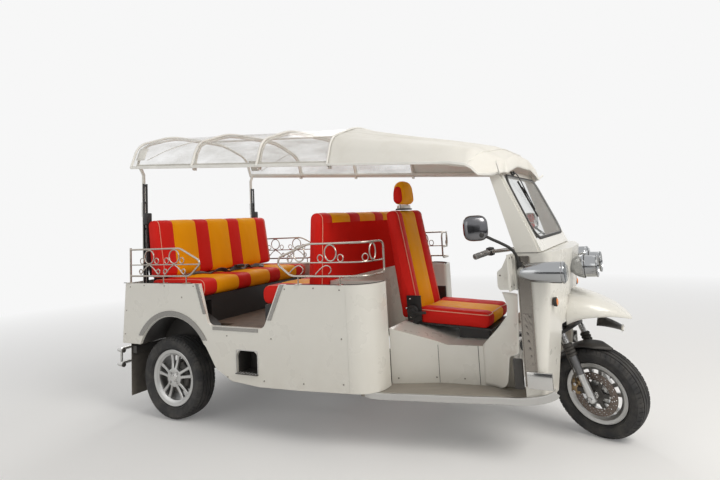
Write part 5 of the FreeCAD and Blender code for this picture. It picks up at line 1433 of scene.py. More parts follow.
def make_turn_signals():
    """Long pods beside the headlamps, on stems from the shell."""
    pods = Form()
    for side in SIDES:
        place = facing(point(2.271, side * 0.559, 0.938), (1, 0, 0))
        pods.lathe([(0, 0), (0.001, 0.007), (0.004, 0.0140), (0.009, 0.0205), (0.018, 0.0280),
                    (0.032, 0.0350), (0.050, 0.0410), (0.070, 0.0455), (0.095, 0.0485), (0.130, 0.0502),
                    (0.208, 0.0510), (0.211, 0.0495), (0.214, 0.0520), (0.222, 0.0525), (0.225, 0.0500),
                    (0.223, 0.046), (0.222, 0.0)], place, 0, 56)
        pods.lathe([(0.222, 0.046), (0.229, 0.0445), (0.236, 0.036), (0.2395, 0.020), (0.2400, 0.0)],
                   place, 1, 48)
        pods.tube([point(2.390, side * 0.47, 0.938), point(2.390, side * 0.53, 0.938)], 0.013, 0, 20)
        pods.lathe([(0, 0.024), (0.004, 0.024), (0.008, 0.016), (0.008, 0)],
                   facing(point(2.390, side * 0.499, 0.938), (0, side, 0)), 0, 28)
    pods.piece("turn_signal_pods", ["lamp_chrome", "lamp_glass"], "chrome", ["turn_signals"])


def make_front_markers():
    """Small round lenses on the front shell, in rubber rings."""
    _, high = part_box("front_markers")
    marks = Form()
    for side in SIDES:
        place = facing((high.x - 0.012, side * 0.430, 0.780), (1, 0, 0))
        marks.lathe([(-0.012, 0.021), (0.002, 0.0235), (0.005, 0.0225), (0.006, 0.0195)], place, 1, 32)
        marks.lathe([(0.003, 0.0195), (0.008, 0.0180), (0.0115, 0.011), (0.012, 0)], place, 0, 32)
    marks.piece("front_marker_lenses", ["orange_lens", "black_rubber"], "orange_lens", ["front_markers"])


def make_tail_lamps():
    """Two lenses a side on the sloping rear panel."""
    form = Form()
    for side in SIDES:
        for z, radius in ((0.760, 0.046), (0.660, 0.034)):
            behind = 0.402 + 0.035 * (BODY_TOP - z) / (BODY_TOP - 0.478)
            place = facing(point(-behind - 0.0005, side * 0.560, z), (-1, 0, -0.085))
            form.lathe([(0, radius - 0.001), (0.006, radius), (0.010, radius - 0.002),
                        (0.012, radius - 0.005)],
                       place, 1, 40)
            form.lathe([(0.008, radius - 0.0045), (0.016, radius - 0.006), (0.019, radius * 0.6),
                        (0.0205, 0)],
                       place, 0 if z > 0.7 else 2, 40)
    form.piece("tail_lamp_lenses", ["red_lens", "chrome", "amber_lens"], "red_lens", ["tail_lamps"])


def make_beak():
    """The beak over the front wheel and the dark guard inside it."""
    # distance ahead, half width, top and lower edge
    stations = [(2.432, 0.205, 0.800, 0.624), (2.46, 0.203, 0.797, 0.638), (2.510, 0.197, 0.782, 0.654),
                (2.555, 0.184, 0.768, 0.660), (2.600, 0.166, 0.748, 0.662), (2.645, 0.140, 0.726, 0.661),
                (2.680, 0.111, 0.704, 0.655), (2.712, 0.072, 0.677, 0.645), (2.734, 0.032, 0.652, 0.635),
                (2.7385, 0.012, 0.643, 0.632)]
    rows = []
    for d, half, top, low in stations:
        row = []
        for k in range(33):
            t = -1 + 2 * k / 32
            a = t * math.pi / 2
            z = low + (top - low) * max(0, math.cos(a)) ** 0.72 if abs(t) < 1 else low
            row.append(point(d, half * signed_power(math.sin(a), 0.86), z))
        rows.append(row)
    form = Form()
    form.skin(list(zip(*(smooth_line(column, 5) for column in zip(*rows)))))
    beak = form.piece("beak_shell", ["white_paint"], "white_paint", ["beak_mudguard"], crease=60)
    solid = beak.modifiers.new("Thickness", "SOLIDIFY")
    solid.thickness, solid.offset = 0.005, -1
    # the inner guard shows under the beak and has a pale front lip
    inner = Form()
    rows = []
    for k in range(13):
        t = k / 12
        d, half = 2.570 + 0.120 * t, 0.118 - 0.063 * t ** 1.6
        rows.append([point(d, half * u, 0.636 - 0.044 * t ** 1.5 - 0.026 * u * u * (1 - 0.5 * t))
                     for u in np.linspace(-1, 1, 17)])
    inner.skin(rows)
    inner.tube(rows[-1], 0.0055, 1, 8)
    inner.piece("beak_inner_guard", ["black_plastic", "white_paint"], "black_plastic", thick=0.003)


def make_fork():
    """Legs, yokes, steering column and brake caliper, drawn straight and then turned."""
    legs = Form()
    for side in SIDES:
        fork_leg(legs, side)
    tall = 0.016
    for up in (0.350, 0.475):
        centre = on_fork(0.018, 0, up + tall / 2)
        outline = rounded([(-0.118, -0.045, 0), (0.0, -0.056, 0), (0.118, -0.045, 0), (0.132, 0, 0),
                           (0.118, 0.045, 0), (0.0, 0.056, 0), (-0.118, 0.045, 0), (-0.132, 0, 0)],
                          0.022, 5, True)
        turned = Matrix((AXIS_FORE, Vector((0, 1, 0)), AXIS_UP)).transposed().to_4x4()
        flat = Matrix.Translation(centre) @ turned
        legs.plate([[(p.y, p.x) for p in outline]], tall, flat, 3, 0.002)
    stem = facing(AXIS_FOOT, AXIS_UP)
    legs.lathe([(0.355, 0), (0.355, 0.0168), (0.835, 0.0168), (0.838, 0.0)], stem, 3, 28)
    legs.lathe([(0.340, 0), (0.340, 0.020), (0.350, 0.022), (0.350, 0)], stem, 2, 6)
    axle = facing(HUB + Vector((0, -0.118, 0)), (0, 1, 0))
    legs.lathe([(0, 0), (0, 0.0115), (0.236, 0.0115), (0.236, 0)], axle, 2, 24)
    # brake caliper behind the near leg, on its bracket
    leaning = Matrix.Rotation(math.radians(12), 4, "Y")
    body = Matrix.Translation(HUB + Vector((-0.094, -0.0665, 0.030))) @ leaning
    legs.block((0.050, 0.034, 0.078), body, 4, 0.009, 3)
    legs.block((0.034, 0.016, 0.050), body @ Matrix.Translation((0, -0.022, 0)), 4, 0.006, 3)
    for z in (-0.022, 0.022):
        legs.lathe([(0, 0), (0, 0.009), (0.004, 0.009), (0.005, 0.007), (0.005, 0)],
                   facing(body @ Vector((0, -0.030, z)), (0, -1, 0)), 2, 20)
    legs.block((0.080, 0.012, 0.026), Matrix.Translation(HUB + Vector((-0.045, -0.090, 0.028))), 3, 0.004, 2)
    hose = [body @ Vector((0.006, -0.030, 0.036)), on_fork(0.015, -0.112, 0.150),
            on_fork(0.030, -0.128, 0.240), on_fork(0.030, -0.128, 0.320), on_fork(0.010, -0.110, 0.352)]
    legs.tube(smooth_line(hose, 10), 0.0032, 1, 8)
    legs.move(STEERED)
    legs.piece("fork_parts", ["leg_alloy", "black_rubber", "stanchion", "black_paint", "brass_gold",
                              "fork_grey"],
               "black_paint", ["fork"], "steering")


def fork_leg(legs, side):
    """Slider, gaiter, coil and tube of one leg, and the nut on its end of the axle."""
    reach = 0.105
    place = facing(on_fork(FORK_OFFSET, side * reach, 0), AXIS_UP)
    legs.lathe([(-0.026, 0), (-0.026, 0.016), (-0.020, 0.021), (0.030, 0.0215), (0.060, 0.0195),
                (0.128, 0.0200), (0.129, 0.0)], place, 0, 36)
    legs.lathe([(0.127, 0), (0.127, 0.0212), (0.150, 0.0212), (0.205, 0.0222), (0.222, 0.0235),
                (0.226, 0.0235), (0.228, 0.0)], place, 5, 36)
    gaiter = [(0.224, 0.0)]
    for k in range(4):
        z = 0.226 + k * 0.017
        gaiter += [(z, 0.0225), (z + 0.003, 0.0265), (z + 0.008, 0.0275), (z + 0.013, 0.0262),
                   (z + 0.016, 0.0215)]
    gaiter += [(0.296, 0.019), (0.298, 0.0)]
    legs.lathe(gaiter, place, 1, 32)
    tube = [(0.290, 0.0)]
    for k in range(6):
        z = 0.292 + k * 0.0075
        tube += [(z, 0.0150), (z + 0.0015, 0.0172), (z + 0.004, 0.0172), (z + 0.0055, 0.0150)]
    tube += [(0.345, 0.0150), (0.488, 0.0150), (0.494, 0.012), (0.496, 0.0)]
    legs.lathe(tube, place, 2, 32)
    legs.lathe([(0.0, 0.0), (0.0, 0.013), (0.012, 0.013), (0.014, 0.010), (0.014, 0.0)],
               facing(HUB + Vector((0, side * (reach + 0.012), 0)), (0, side, 0)), 2, 6)


def make_small_mudguard():
    """A short guard close over the tyre, drawn to a point at its front."""
    guard = Form()
    rows = []
    for k in range(33):
        turn = math.radians(-64 + 86 * k / 32)
        half = 0.061 * min(1.0, (1 - k / 32) * 4.5 + 0.12) * min(1.0, k / 32 * 8 + 0.6)
        row = []
        for u in np.linspace(-1, 1, 15):
            reach = 0.2665 - 0.013 * u ** 4
            row.append(HUB + Vector((reach * math.sin(turn), half * u, reach * math.cos(turn))))
        rows.append(row)
    guard.skin(rows)
    guard.move(STEERED).piece("small_mudguard_blade", ["black_plastic"], "black_plastic", ["small_mudguard"],
                              "steering", thick=0.0025)


def make_handlebar():
    """The bar swept back to its grips, with switch boxes and levers."""
    up, half, sweep = 0.860, 0.340, 0.120
    form = Form()
    bar = [on_fork(-sweep, -half, up + 0.04), on_fork(-sweep + 0.02, -half + 0.11, up + 0.04),
           on_fork(0.010, -0.110, up), on_fork(0.010, 0.110, up),
           on_fork(-sweep + 0.02, half - 0.11, up + 0.04), on_fork(-sweep, half, up + 0.04)]
    form.tube(rounded(bar, 0.045, 10), 0.011, 0, 18)
    stem = facing(AXIS_FOOT, AXIS_UP)
    form.lathe([(0.8405, 0), (0.8405, 0.026), (0.870, 0.026), (0.876, 0.021), (0.878, 0)], stem, 1, 32)
    for side in SIDES:
        end = on_fork(-sweep, side * half, up + 0.04)
        start = on_fork(-sweep + 0.02, side * (half - 0.11), up + 0.04)
        along = (start - end).normalized()
        grip = [(0.0, 0.0), (0.0, 0.014), (0.003, 0.0168)]
        for k in range(13):
            z = 0.006 + k * 0.0072
            grip += [(z, 0.0168), (z + 0.0036, 0.0168), (z + 0.0044, 0.0152), (z + 0.0064, 0.0152)]
        grip += [(0.101, 0.0168), (0.106, 0.0170), (0.110, 0.012), (0.110, 0.0)]
        form.lathe(grip, facing(end, along), 2, 28)
        form.block((0.040, 0.046, 0.036), facing(start + along * 0.018, along), 1, 0.008, 3)
        lever = [start + along * 0.022 + AXIS_FORE * 0.020, start + along * 0.004 + AXIS_FORE * 0.046,
                 start - along * 0.030 + AXIS_FORE * 0.058, start - along * 0.085 + AXIS_FORE * 0.050,
                 start - along * 0.112 + AXIS_FORE * 0.052]
        form.sweep(smooth_line(lever, 6), slab_section(0.012, 0.006, 0.0025), 0, AXIS_UP)
        form.lathe([(-0.004, 0), (-0.002, 0.005), (0.004, 0.005), (0.006, 0)],
                   facing(lever[-1], AXIS_UP), 0, 12)
    form.move(STEERED)
    form.piece("handlebar_parts", ["chrome", "black_plastic", "grip_grey"], "black_rubber", ["handlebar"],
               "steering")


def make_mirrors():
    """Heads turned inward on bent arms, with their glass towards the driver."""
    form = Form()
    arm = [point(2.152, -0.662, 1.128), point(2.182, -0.628, 1.106), point(2.214, -0.596, 1.085),
           point(2.250, -0.560, 1.056), point(2.269, -0.530, 1.017), point(2.274, -0.516, 0.966)]
    form.tube(smooth_line(arm, 8), 0.0075, 1, 12)
    form.block((0.026, 0.012, 0.046), placed(2.276, -0.5155, 0.962), 1, 0.004, 3)
    head = facing(point(2.122, -0.700, 1.167), (0.50, -0.86, 0.03))
    rows = []
    for depth, size in ((-0.0100, 0.90), (-0.0115, 0.955), (-0.0100, 0.995), (-0.0050, 1.0), (0.000, 0.985),
                        (0.009, 0.945), (0.018, 0.86), (0.024, 0.70), (0.0275, 0.46), (0.0285, 0.20)):
        row = []
        for k in range(48):
            a = 2 * math.pi * k / 48
            row.append(head @ Vector((signed_power(math.cos(a), 0.62) * 0.061 * size,
                                      signed_power(math.sin(a), 0.62) * 0.063 * size, depth)))
        rows.append(row)
    form.skin(rows[:5], 0, wrap=True)
    form.skin(rows[4:], 3, wrap=True)
    form.add(rows[-1], [tuple(range(48))], 3)
    form.add(rows[0], [tuple(range(48))], 2)
    form.lathe([(0.018, 0.014), (0.032, 0.012), (0.036, 0.008), (0.036, 0)],
               head @ Matrix.Translation((0.020, -0.034, -0.006)), 1, 20)
    form.mirrored().piece("mirror_heads", ["chrome", "black_rubber", "mirror_face", "gloss_black"], "chrome",
                          ["mirrors"])


# Trim

def screw(form, place, radius, kind=0):
    """One round head."""
    form.lathe([(0.0, radius), (0.0012, radius), (0.0026, radius * 0.62), (0.003, 0)], place, kind, 12)


def console_side(d):
    """Half the console's width at a distance ahead."""
    return 0.475 - 0.103 * (d - 1.512) / 0.248 if d < 1.76 else 0.372 - 0.046 * (d - 1.76) / 0.41


def make_screws(radius):
    """Screws along the panels' edges, on the console and on the wings."""
    heads = Form()
    for side in SIDES:
        face = side * (SIDE + 0.0002)
        for x, z in ((-0.355, 0.862), (-0.215, 0.872), (-0.02, 0.872), (0.14, 0.800), (0.245, 0.872),
                     (-0.395, 0.70), (-0.41, 0.54), (0.52, 0.575), (0.86, 0.575), (0.97, 0.862),
                     (1.17, 0.870), (1.34, 0.862), (1.34, 0.60), (1.34, 0.36), (1.08, 0.34), (0.80, 0.33),
                     (0.52, 0.33)):
            screw(heads, facing(point(x, face, z), (0, side, 0)), radius)
        for x in (1.548, 1.90, 1.745):
            screw(heads, facing(point(x, side * (console_side(x) + 0.0005), 0.342), (0.2, side, 0)), radius)
        for z in (0.872, 1.010):
            for y in (0.580, 0.525):
                screw(heads, facing(point(2.2445, side * y, z), (1, 0, 0)), radius)
    heads.piece("panel_screws", ["dark_screw"], "black_paint")


def make_pillar_relief():
    """Waves pressed into the pillars' plates, the beads beside them and the shoes at their feet."""
    plates = Form()
    for side in SIDES:
        y = side * (0.506 + 0.0048)
        rows = []
        for k in range(65):
            t = k / 64
            row = []
            for j in range(13):
                u = j / 12
                wave = 0.0022 * math.sin(26 * t + 3.0 * math.sin(5 * u + 4 * t)) * math.sin(math.pi * u)
                row.append(point(2.268 + 0.044 * u + 0.004 * t, y + side * (0.0015 + abs(wave)),
                                 0.430 + 0.300 * t))
            rows.append(row)
        plates.skin(rows)
        for x in (2.2615, 2.3205):
            bead = [point(x, y + side * 0.001, 0.380), point(x + 0.004, y + side * 0.001, 1.012)]
            plates.tube(bead, 0.0028, 0, 8)
        plates.block((0.120, 0.016, 0.080), placed(2.330, side * 0.514, 0.412), 1, 0.003, 2)
    plates.piece("pillar_plate_relief", ["polished_plate", "chrome"], "chrome")


def make_board_edges():
    """The running boards' bright edges with an upswept tip, and the ribs of their mats."""
    edges = Form()
    line = [(1.415, -0.638, 0.2975), (1.500, -0.6555, 0.2975), (1.700, -0.6155, 0.2975),
            (1.960, -0.5605, 0.2975), (2.120, -0.5250, 0.2990), (2.220, -0.5300, 0.3060),
            (2.290, -0.5300, 0.3160), (2.350, -0.5280, 0.3300), (2.392, -0.5220, 0.3480),
            (2.404, -0.5190, 0.3620)]
    path = smooth_line([point(x, y, z) for x, y, z in line], 8)
    edges.sweep(path, slab_section(0.006, 0.034, 0.0025), 0, UP)
    edges.sweep([p + UP * 0.0165 + (point(2.0, 0, p.z) - p).normalized() * 0.010 for p in path],
                slab_section(0.020, 0.0025, 0.001), 0, UP)
    rear, front = 1.50, 2.27
    for k in range(9):
        share = (k + 0.7) / 9.6
        rib = []
        for j in range(30):
            x = rear + (front - rear) * j / 29
            outer = -0.655 + 0.095 * (x - 1.5) / 0.46 if x < 1.96 else -0.560 + 0.105 * (x - 1.96) / 0.30
            rib.append(point(x, blend((-console_side(x) - 0.005, outer), share), 0.3120))
        edges.sweep(rib, slab_section(0.0075, 0.005, 0.0015), 1, UP)
    edges.mirrored().piece("running_board_edges", ["bright_steel", "board_mat"], "bright_steel")


def make_panel_seams():
    """Seams of the console and the wings, and dark beads along the tops of the side panels."""
    seams = Form()
    for side in SIDES:
        for x, y, top in ((1.983, 0.3474, 0.519), (1.76, 0.3722, 0.518)):
            seams.sweep([point(x, side * y, 0.314), point(x, side * y, top)],
                        slab_section(0.003, 0.0012, 0.0003), 0, (0, side, 0))
    for side in SIDES:
        loop = smooth_line([point(2.262, side * 0.5065, 1.0303), point(2.33, side * 0.5066, 1.0303),
                            point(2.38, side * 0.5055, 1.0303)], 6)
        seams.tube(loop, 0.0012, 0, 6)
    front = [(0.985, 0.7165), (1.180, 0.7165), (1.330, 0.713), (1.430, 0.684), (1.495, 0.618), (1.519, 0.520)]
    for side in SIDES:
        for line in ([(-0.425, 0.7165), (0.235, 0.7165)], front):
            bead = [point(x, side * y, BODY_TOP + 0.001) for x, y in line]
            seams.sweep(smooth_line(bead, 8), slab_section(0.006, 0.004, 0.001), 0, UP)
    seams.piece("panel_seams", ["black_rubber"], "black_rubber")


def make_bumper_caps():
    """Plugs in the ends of the rear bumper's tubes."""
    caps = Form()
    for side in SIDES:
        for z in (0.400, 0.300):
            place = facing(point(-0.532, side * 0.640, z), (1, 0, 0))
            caps.lathe([(-0.006, 0.0132), (-0.006, 0.0150), (0.004, 0.0150), (0.008, 0.010), (0.009, 0)],
                       place, 0, 24)
    caps.piece("bumper_caps", ["black_rubber"], "black_rubber")


def make_step_treads():
    """Studs in the foot steps and the rims round their openings."""
    steps = Form()
    for side in SIDES:
        for k in range(7):
            for j in range(3):
                spot = placed(0.608 + 0.022 * k, side * (0.704 + 0.0105 * j), 0.3625)
                steps.lathe([(0, 0.0036), (0.0014, 0.0030), (0.002, 0.0)], spot, 0, 8)
        recess = ((0.592, 0.3585), (0.756, 0.3585), (0.756, 0.4965), (0.592, 0.4965))
        rim = rounded([point(x, side * 0.7215, z) for x, z in recess], 0.008, 4, True)
        steps.tube(rim, 0.0026, 0, 8, True)
    steps.piece("step_treads", ["bright_steel"], "bright_steel")


def make_fairings():
    """Skins that carry the console's sides out to the front shell, and the plates behind the pods."""
    rows = []
    heights = (0.318, 0.336, 0.360, 0.500, 0.530, 0.83)
    for z in np.linspace(0.318, 0.826, 34):
        d0 = np.interp(z, (0.527, 0.637, 0.705, 0.756, 0.830), (2.010, 2.118, 2.176, 2.186, 2.162))
        y0 = np.interp(z, (0.527, 0.637, 0.705, 0.756), (-0.3445, -0.392, -0.436, -0.448))
        d1 = np.interp(z, heights, (2.106, 2.136, 2.152, 2.176, 2.236, 2.252))
        y1 = np.interp(z, heights, (-0.384, -0.408, -0.424, -0.452, -0.492, -0.502))
        foot, tip = point(d0, y0, z), point(d1, y1, z)
        lead = point(d0 + 0.55 * (d1 - d0), y0 + 0.12 * (y1 - y0), z)
        rows.append([foot.lerp(lead, t).lerp(lead.lerp(tip, t), t) for t in np.linspace(0, 1, 17)])
    sides = Form()
    sides.skin(rows)
    sides.mirrored().piece("console_fairings", ["white_paint"], "white_paint", thick=0.004)
    gap = Form()
    for side in SIDES:
        gap.block((0.050, 0.016, 0.150), placed(2.220, side * 0.468, 0.425), 0, 0.007, 2)
    gap.piece("pillar_gap_liners", ["black_plastic"], "black_plastic")
    plates = Form()
    outline = [(2.218, 1.021), (2.255, 1.026), (2.250, 0.846), (2.166, 0.845), (2.158, 0.865), (2.160, 0.936),
               (2.186, 0.958), (2.212, 1.008)]
    loop = rounded([point(d, z, 0) for d, z in outline],
                   [0.006, 0.006, 0.004, 0.012, 0.01, 0.015, 0.02, 0.01], 4, True)
    for side in SIDES:
        flat = Matrix.Translation((0, side * 0.5085, 0)) @ Matrix.Rotation(math.pi / 2, 4, "X")
        plates.plate([[(p.x, p.y) for p in loop]], 0.003, flat, 0, 0.0006)
        for x, z in ((2.174, 0.918), (2.236, 0.866), (2.236, 1.000)):
            screw(plates, facing(point(x, side * 0.5098, z), (0, side, 0)), 0.0045, 1)
        plates.block((0.006, 0.005, 0.182), placed(2.2545, side * 0.5105, 0.936), 2, 0.0015, 2)
    plates.piece("wing_side_plates", ["white_paint", "dark_screw", "black_rubber"], "white_paint")


# Stage

BACKDROP = (0.93, 0.93, 0.93, 1)


def plain_object(name, form):
    """An object of the stage, without a body or a slot."""
    mesh = bpy.data.meshes.new(name)
    mesh.from_pydata([tuple(p) for p in form.points], [], form.faces)
    obj = bpy.data.objects.new(name, mesh)
    bpy.context.scene.collection.objects.link(obj)
    return obj, mesh


def make_floor():
    """A floor that fades into the backdrop's white away from the vehicle."""
    form = Form()
    form.lathe([(0.0, r) for r in (0.0, 2, 4, 6, 9, 14, 24, 60)], Matrix.Identity(4), 0, 96)
    floor, mesh = plain_object("studio_floor", form)
    tidy(mesh, 60)
    for face in mesh.polygons:
        if face.normal.z < 0:
            face.flip()
    paint = Finish("studio_floor", (0.86, 0.86, 0.855), 0.75)
    paint.relief((paint.noise(90, 3), 0.1, 0.001))
    glow = paint.node("ShaderNodeEmission")
    glow.inputs["Color"].default_value = BACKDROP
    paths = paint.node("ShaderNodeLightPath")
    mirrored = paint.math("MULTIPLY", paths.outputs["Is Glossy Ray"], 0.3)
    seen = paint.math("ADD", paths.outputs["Is Camera Ray"], mirrored)
    seen = paint.math("MINIMUM", paint.math("ADD", seen, paths.outputs["Is Transmission Ray"]), 1.0)
    spot = paint.node("ShaderNodeVectorMath", operation="LENGTH")
    paint.link(paint.place, spot.inputs[0])
    far = paint.spread(spot.outputs["Value"], 2.4, 8.0, 0.12, 1)
    choose = paint.node("ShaderNodeMixShader")
    paint.link(paint.math("MULTIPLY", far, seen), choose.inputs[0])
    paint.link(paint.shader.outputs["BSDF"], choose.inputs[1])
    paint.link(glow.outputs["Emission"], choose.inputs[2])
    output = next(n for n in paint.tree.nodes if n.type == "OUTPUT_MATERIAL")
    paint.link(choose.outputs["Shader"], output.inputs["Surface"])
    mesh.materials.append(paint.material)


def make_world():
    """Soft light all round, behind which camera, mirrors and glass see the plain backdrop."""
    world = bpy.data.worlds.new("studio")
    bpy.context.scene.world = world
    world.use_nodes = True
    nodes, links = world.node_tree.nodes, world.node_tree.links
    back = nodes["Background"]
    back.inputs["Color"].default_value = BACKDROP
    light = nodes.new("ShaderNodeBackground")
    light.inputs["Color"].default_value = (1.0, 0.99, 0.975, 1)
    light.inputs["Strength"].default_value = 0.42
    paths = nodes.new("ShaderNodeLightPath")
    add_one = nodes.new("ShaderNodeMath")
    add_two = nodes.new("ShaderNodeMath")
    add_two.use_clamp = True
    links.new(paths.outputs["Is Camera Ray"], add_one.inputs[0])
    links.new(paths.outputs["Is Glossy Ray"], add_one.inputs[1])
    links.new(add_one.outputs[0], add_two.inputs[0])
    links.new(paths.outputs["Is Transmission Ray"], add_two.inputs[1])
    choose = nodes.new("ShaderNodeMixShader")
    links.new(add_two.outputs[0], choose.inputs[0])
    links.new(light.outputs[0], choose.inputs[1])
    links.new(back.outputs[0], choose.inputs[2])
    output = next(n for n in nodes if n.type == "OUTPUT_WORLD")
    links.new(choose.outputs[0], output.inputs["Surface"])


def make_lights():
    """Three soft lamps, aimed at the middle of the vehicle."""
    lamps = (("key", (5.2, -1.7, 4.8), 3.0, 245, (1.0, 0.965, 0.91)),
             ("fill", (-2.6, -5.2, 2.2), 4.0, 48, (1.0, 0.985, 0.95)),
             ("rim", (-2.0, 4.6, 4.4), 3.4, 95, (1.0, 0.98, 0.95)))
    for name, place, width, power, colour in lamps:
        data = bpy.data.lights.new("studio_" + name, "AREA")
        data.size, data.energy, data.color = width, power, colour
        lamp = bpy.data.objects.new("studio_" + name, data)
        lamp.location = place
        lamp.rotation_euler = (Vector((0.1, 0, 0.7)) - Vector(place)).to_track_quat("-Z", "Y").to_euler()
        bpy.context.scene.collection.objects.link(lamp)


def make_card():
    """Long dark cards out of view, which give the bright metal something to reflect."""
    card = Form()
    card.skin([[(-9, -7.6, 0.0), (9, -7.6, 0.0)], [(-9, -7.6, 2.1), (9, -7.6, 2.1)]])
    card.skin([[(7.5, -7.0, 0.0), (7.5, 7.0, 0.0)], [(7.5, -7.0, 0.9), (7.5, 7.0, 0.9)]])
    flag, mesh = plain_object("studio_card", card)
    grey = Finish("studio_card", (0.10, 0.10, 0.105), 0.9)
    grey.relief((grey.noise(40, 2), 0.1, 0.001))
    mesh.materials.append(grey.material)
    flag.visible_camera = False
    flag.visible_diffuse = False
    flag.visible_shadow = False


def make_camera():
    """The photo's view, fitted to points of the vehicle."""
    azimuth, elevation, roll = (math.radians(v) for v in (28.11, 5.803, -3.058))
    width, focal, shift = 720, 530.394, -72.102
    sight = Vector((-math.sin(azimuth) * math.cos(elevation), math.cos(azimuth) * math.cos(elevation),
                    math.sin(elevation)))
    right = Vector((math.cos(azimuth), math.sin(azimuth), 0))
    over = right.cross(sight)
    c, s = math.cos(roll), math.sin(roll)
    right, over = right * c + over * s, over * c - right * s
    data = bpy.data.cameras.new("view")
    data.sensor_width = 36
    data.lens = focal / width * data.sensor_width
    data.shift_y = shift / width
    camera = bpy.data.objects.new("view", data)
    camera.matrix_world = Matrix((right, over, -sight)).transposed().to_4x4()
    camera.location = (1.78345, -3.26168, 1.22801)
    bpy.context.scene.collection.objects.link(camera)
    bpy.context.scene.camera = camera
    bpy.context.scene.view_settings.view_transform = "Standard"


# Add-on

def colour_property(name, description, default):
    """A property that holds a colour."""
    return bpy.props.FloatVectorProperty(name=name, description=description, subtype="COLOR", size=3, min=0,
                                         max=1, default=default)


def length_property(name, description, default, low, high):
    """A property that holds a length in metres."""
    return bpy.props.FloatProperty(name=name, description=description, unit="LENGTH", default=default,
                                   min=low, max=high)


class RickshawColours(bpy.types.PropertyGroup):
    """Colours that a user may change."""

    body: colour_property("Body", "Paint of the panels", (0.73, 0.715, 0.66))
    red: colour_property("Red vinyl", "Red panels of the seats", (0.70, 0.022, 0.016))
    orange: colour_property("Orange vinyl", "Orange panels of the seats", (0.96, 0.40, 0.004))
    canopy: colour_property("Canvas", "Front part of the canopy", (0.78, 0.765, 0.715))


class RickshawSizes(bpy.types.PropertyGroup):
    """Sizes that a user may change."""

    tread_depth: length_property("Tread depth", "Depth of the tyres' grooves", 0.006, 0.002, 0.009)
    cushion_swell: length_property("Cushion swell", "Most that a seat panel may swell", 0.016, 0.0, 0.02)
    rail_radius: length_property("Rail radius", "Radius of the side rails' tubes", 0.0062, 0.006, 0.011)
    hem_width: length_property("Hem width", "Width of the hems along the canopy's edges", 0.0065, 0.003,
                               0.009)
    screw_radius: length_property("Screw radius", "Radius of the panel screws' heads", 0.0045, 0.003, 0.008)


class RICKSHAW_OT_stage(bpy.types.Operator):
    """Floor, lights, backdrop and camera"""
    bl_idname = "rickshaw.stage"
    bl_label = "Stage"

    def execute(self, context):
        make_floor()
        make_world()
        make_lights()
        make_card()
        make_camera()
        return {"FINISHED"}


class RICKSHAW_OT_finishes(bpy.types.Operator):
    """Finishes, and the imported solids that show"""
    bl_idname = "rickshaw.finishes"
    bl_label = "Finishes"

    def execute(self, context):
        make_finishes(context.scene.rickshaw_colours)
        dress_frame()
        return {"FINISHED"}


class RICKSHAW_OT_wheels(bpy.types.Operator):
    """Tyres, cast rims and the brake disc"""
    bl_idname = "rickshaw.wheels"
    bl_label = "Wheels"

    def execute(self, context):
        make_wheels(context.scene.rickshaw_sizes)
        return {"FINISHED"}


class RICKSHAW_OT_seats(bpy.types.Operator):
    """Benches, driver's seat and lap belt"""
    bl_idname = "rickshaw.seats"
    bl_label = "Seats"

    def execute(self, context):
        make_benches(context.scene.rickshaw_sizes)
        make_driver_seat(context.scene.rickshaw_sizes)
        make_headrest_posts()
        make_recliner()
        make_belts()
        return {"FINISHED"}


class RICKSHAW_OT_canopy(bpy.types.Operator):
    """Canopy sheets, piping and roof fittings"""
    bl_idname = "rickshaw.canopy"
    bl_label = "Canopy"

    def execute(self, context):
        make_canopy(context.scene.rickshaw_sizes)
        make_roof_fittings()
        return {"FINISHED"}


class RICKSHAW_OT_rails(bpy.types.Operator):
    """Ornamental rails along the sides"""
    bl_idname = "rickshaw.rails"
    bl_label = "Side rails"

    def execute(self, context):
        make_rails(context.scene.rickshaw_sizes)
        return {"FINISHED"}


class RICKSHAW_OT_front(bpy.types.Operator):
    """Windscreen, lamps, beak and mirrors"""
    bl_idname = "rickshaw.front"
    bl_label = "Front"

    def execute(self, context):
        make_windscreen()
        make_headlamps()
        make_turn_signals()
        make_front_markers()
        make_beak()
        make_mirrors()
        return {"FINISHED"}


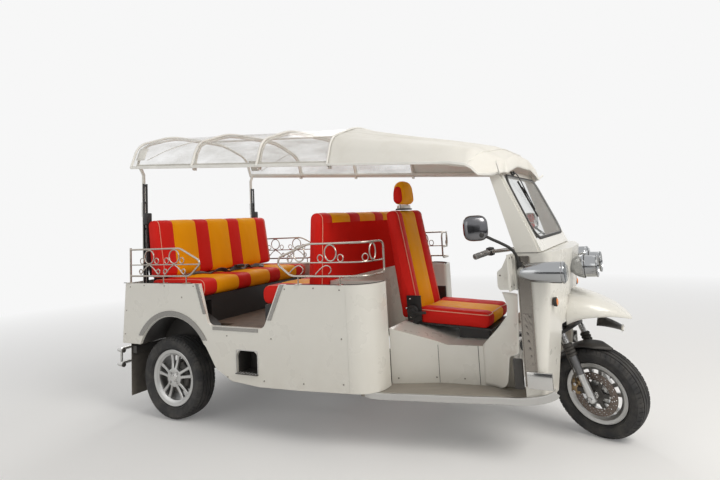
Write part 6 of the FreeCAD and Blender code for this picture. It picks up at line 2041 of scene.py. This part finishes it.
class RICKSHAW_OT_steering(bpy.types.Operator):
    """Fork and handlebar"""
    bl_idname = "rickshaw.steering"
    bl_label = "Steering"

    def execute(self, context):
        make_fork()
        make_small_mudguard()
        make_handlebar()
        return {"FINISHED"}


class RICKSHAW_OT_trim(bpy.types.Operator):
    """Tail lamps, screws, plates, edges and steps"""
    bl_idname = "rickshaw.trim"
    bl_label = "Trim"

    def execute(self, context):
        make_tail_lamps()
        make_screws(context.scene.rickshaw_sizes.screw_radius)
        make_pillar_relief()
        make_board_edges()
        make_panel_seams()
        make_bumper_caps()
        make_step_treads()
        make_fairings()
        return {"FINISHED"}


BUILDERS = (RICKSHAW_OT_finishes, RICKSHAW_OT_stage, RICKSHAW_OT_wheels, RICKSHAW_OT_seats,
            RICKSHAW_OT_canopy, RICKSHAW_OT_rails, RICKSHAW_OT_front, RICKSHAW_OT_steering, RICKSHAW_OT_trim)


class RICKSHAW_PT_pieces(bpy.types.Panel):
    """Lists the builders and what they can be told"""
    bl_idname = "RICKSHAW_PT_pieces"
    bl_label = "Auto rickshaw"
    bl_space_type = "VIEW_3D"
    bl_region_type = "UI"
    bl_category = "Rickshaw"

    def draw(self, context):
        layout = self.layout
        for group in (context.scene.rickshaw_colours, context.scene.rickshaw_sizes):
            for name in group.bl_rna.properties.keys():
                if name not in ("rna_type", "name"):
                    layout.prop(group, name)
        for builder in BUILDERS:
            layout.operator(builder.bl_idname)


CLASSES = (RickshawColours, RickshawSizes, *BUILDERS, RICKSHAW_PT_pieces)


def register():
    for item in CLASSES:
        bpy.utils.register_class(item)
    bpy.types.Scene.rickshaw_colours = bpy.props.PointerProperty(type=RickshawColours)
    bpy.types.Scene.rickshaw_sizes = bpy.props.PointerProperty(type=RickshawSizes)


def unregister():
    del bpy.types.Scene.rickshaw_colours
    del bpy.types.Scene.rickshaw_sizes
    for item in reversed(CLASSES):
        bpy.utils.unregister_class(item)


def main():
    register()
    for builder in BUILDERS:
        group, name = builder.bl_idname.split(".")
        getattr(getattr(bpy.ops, group), name)()


if __name__ == "__main__":
    main()
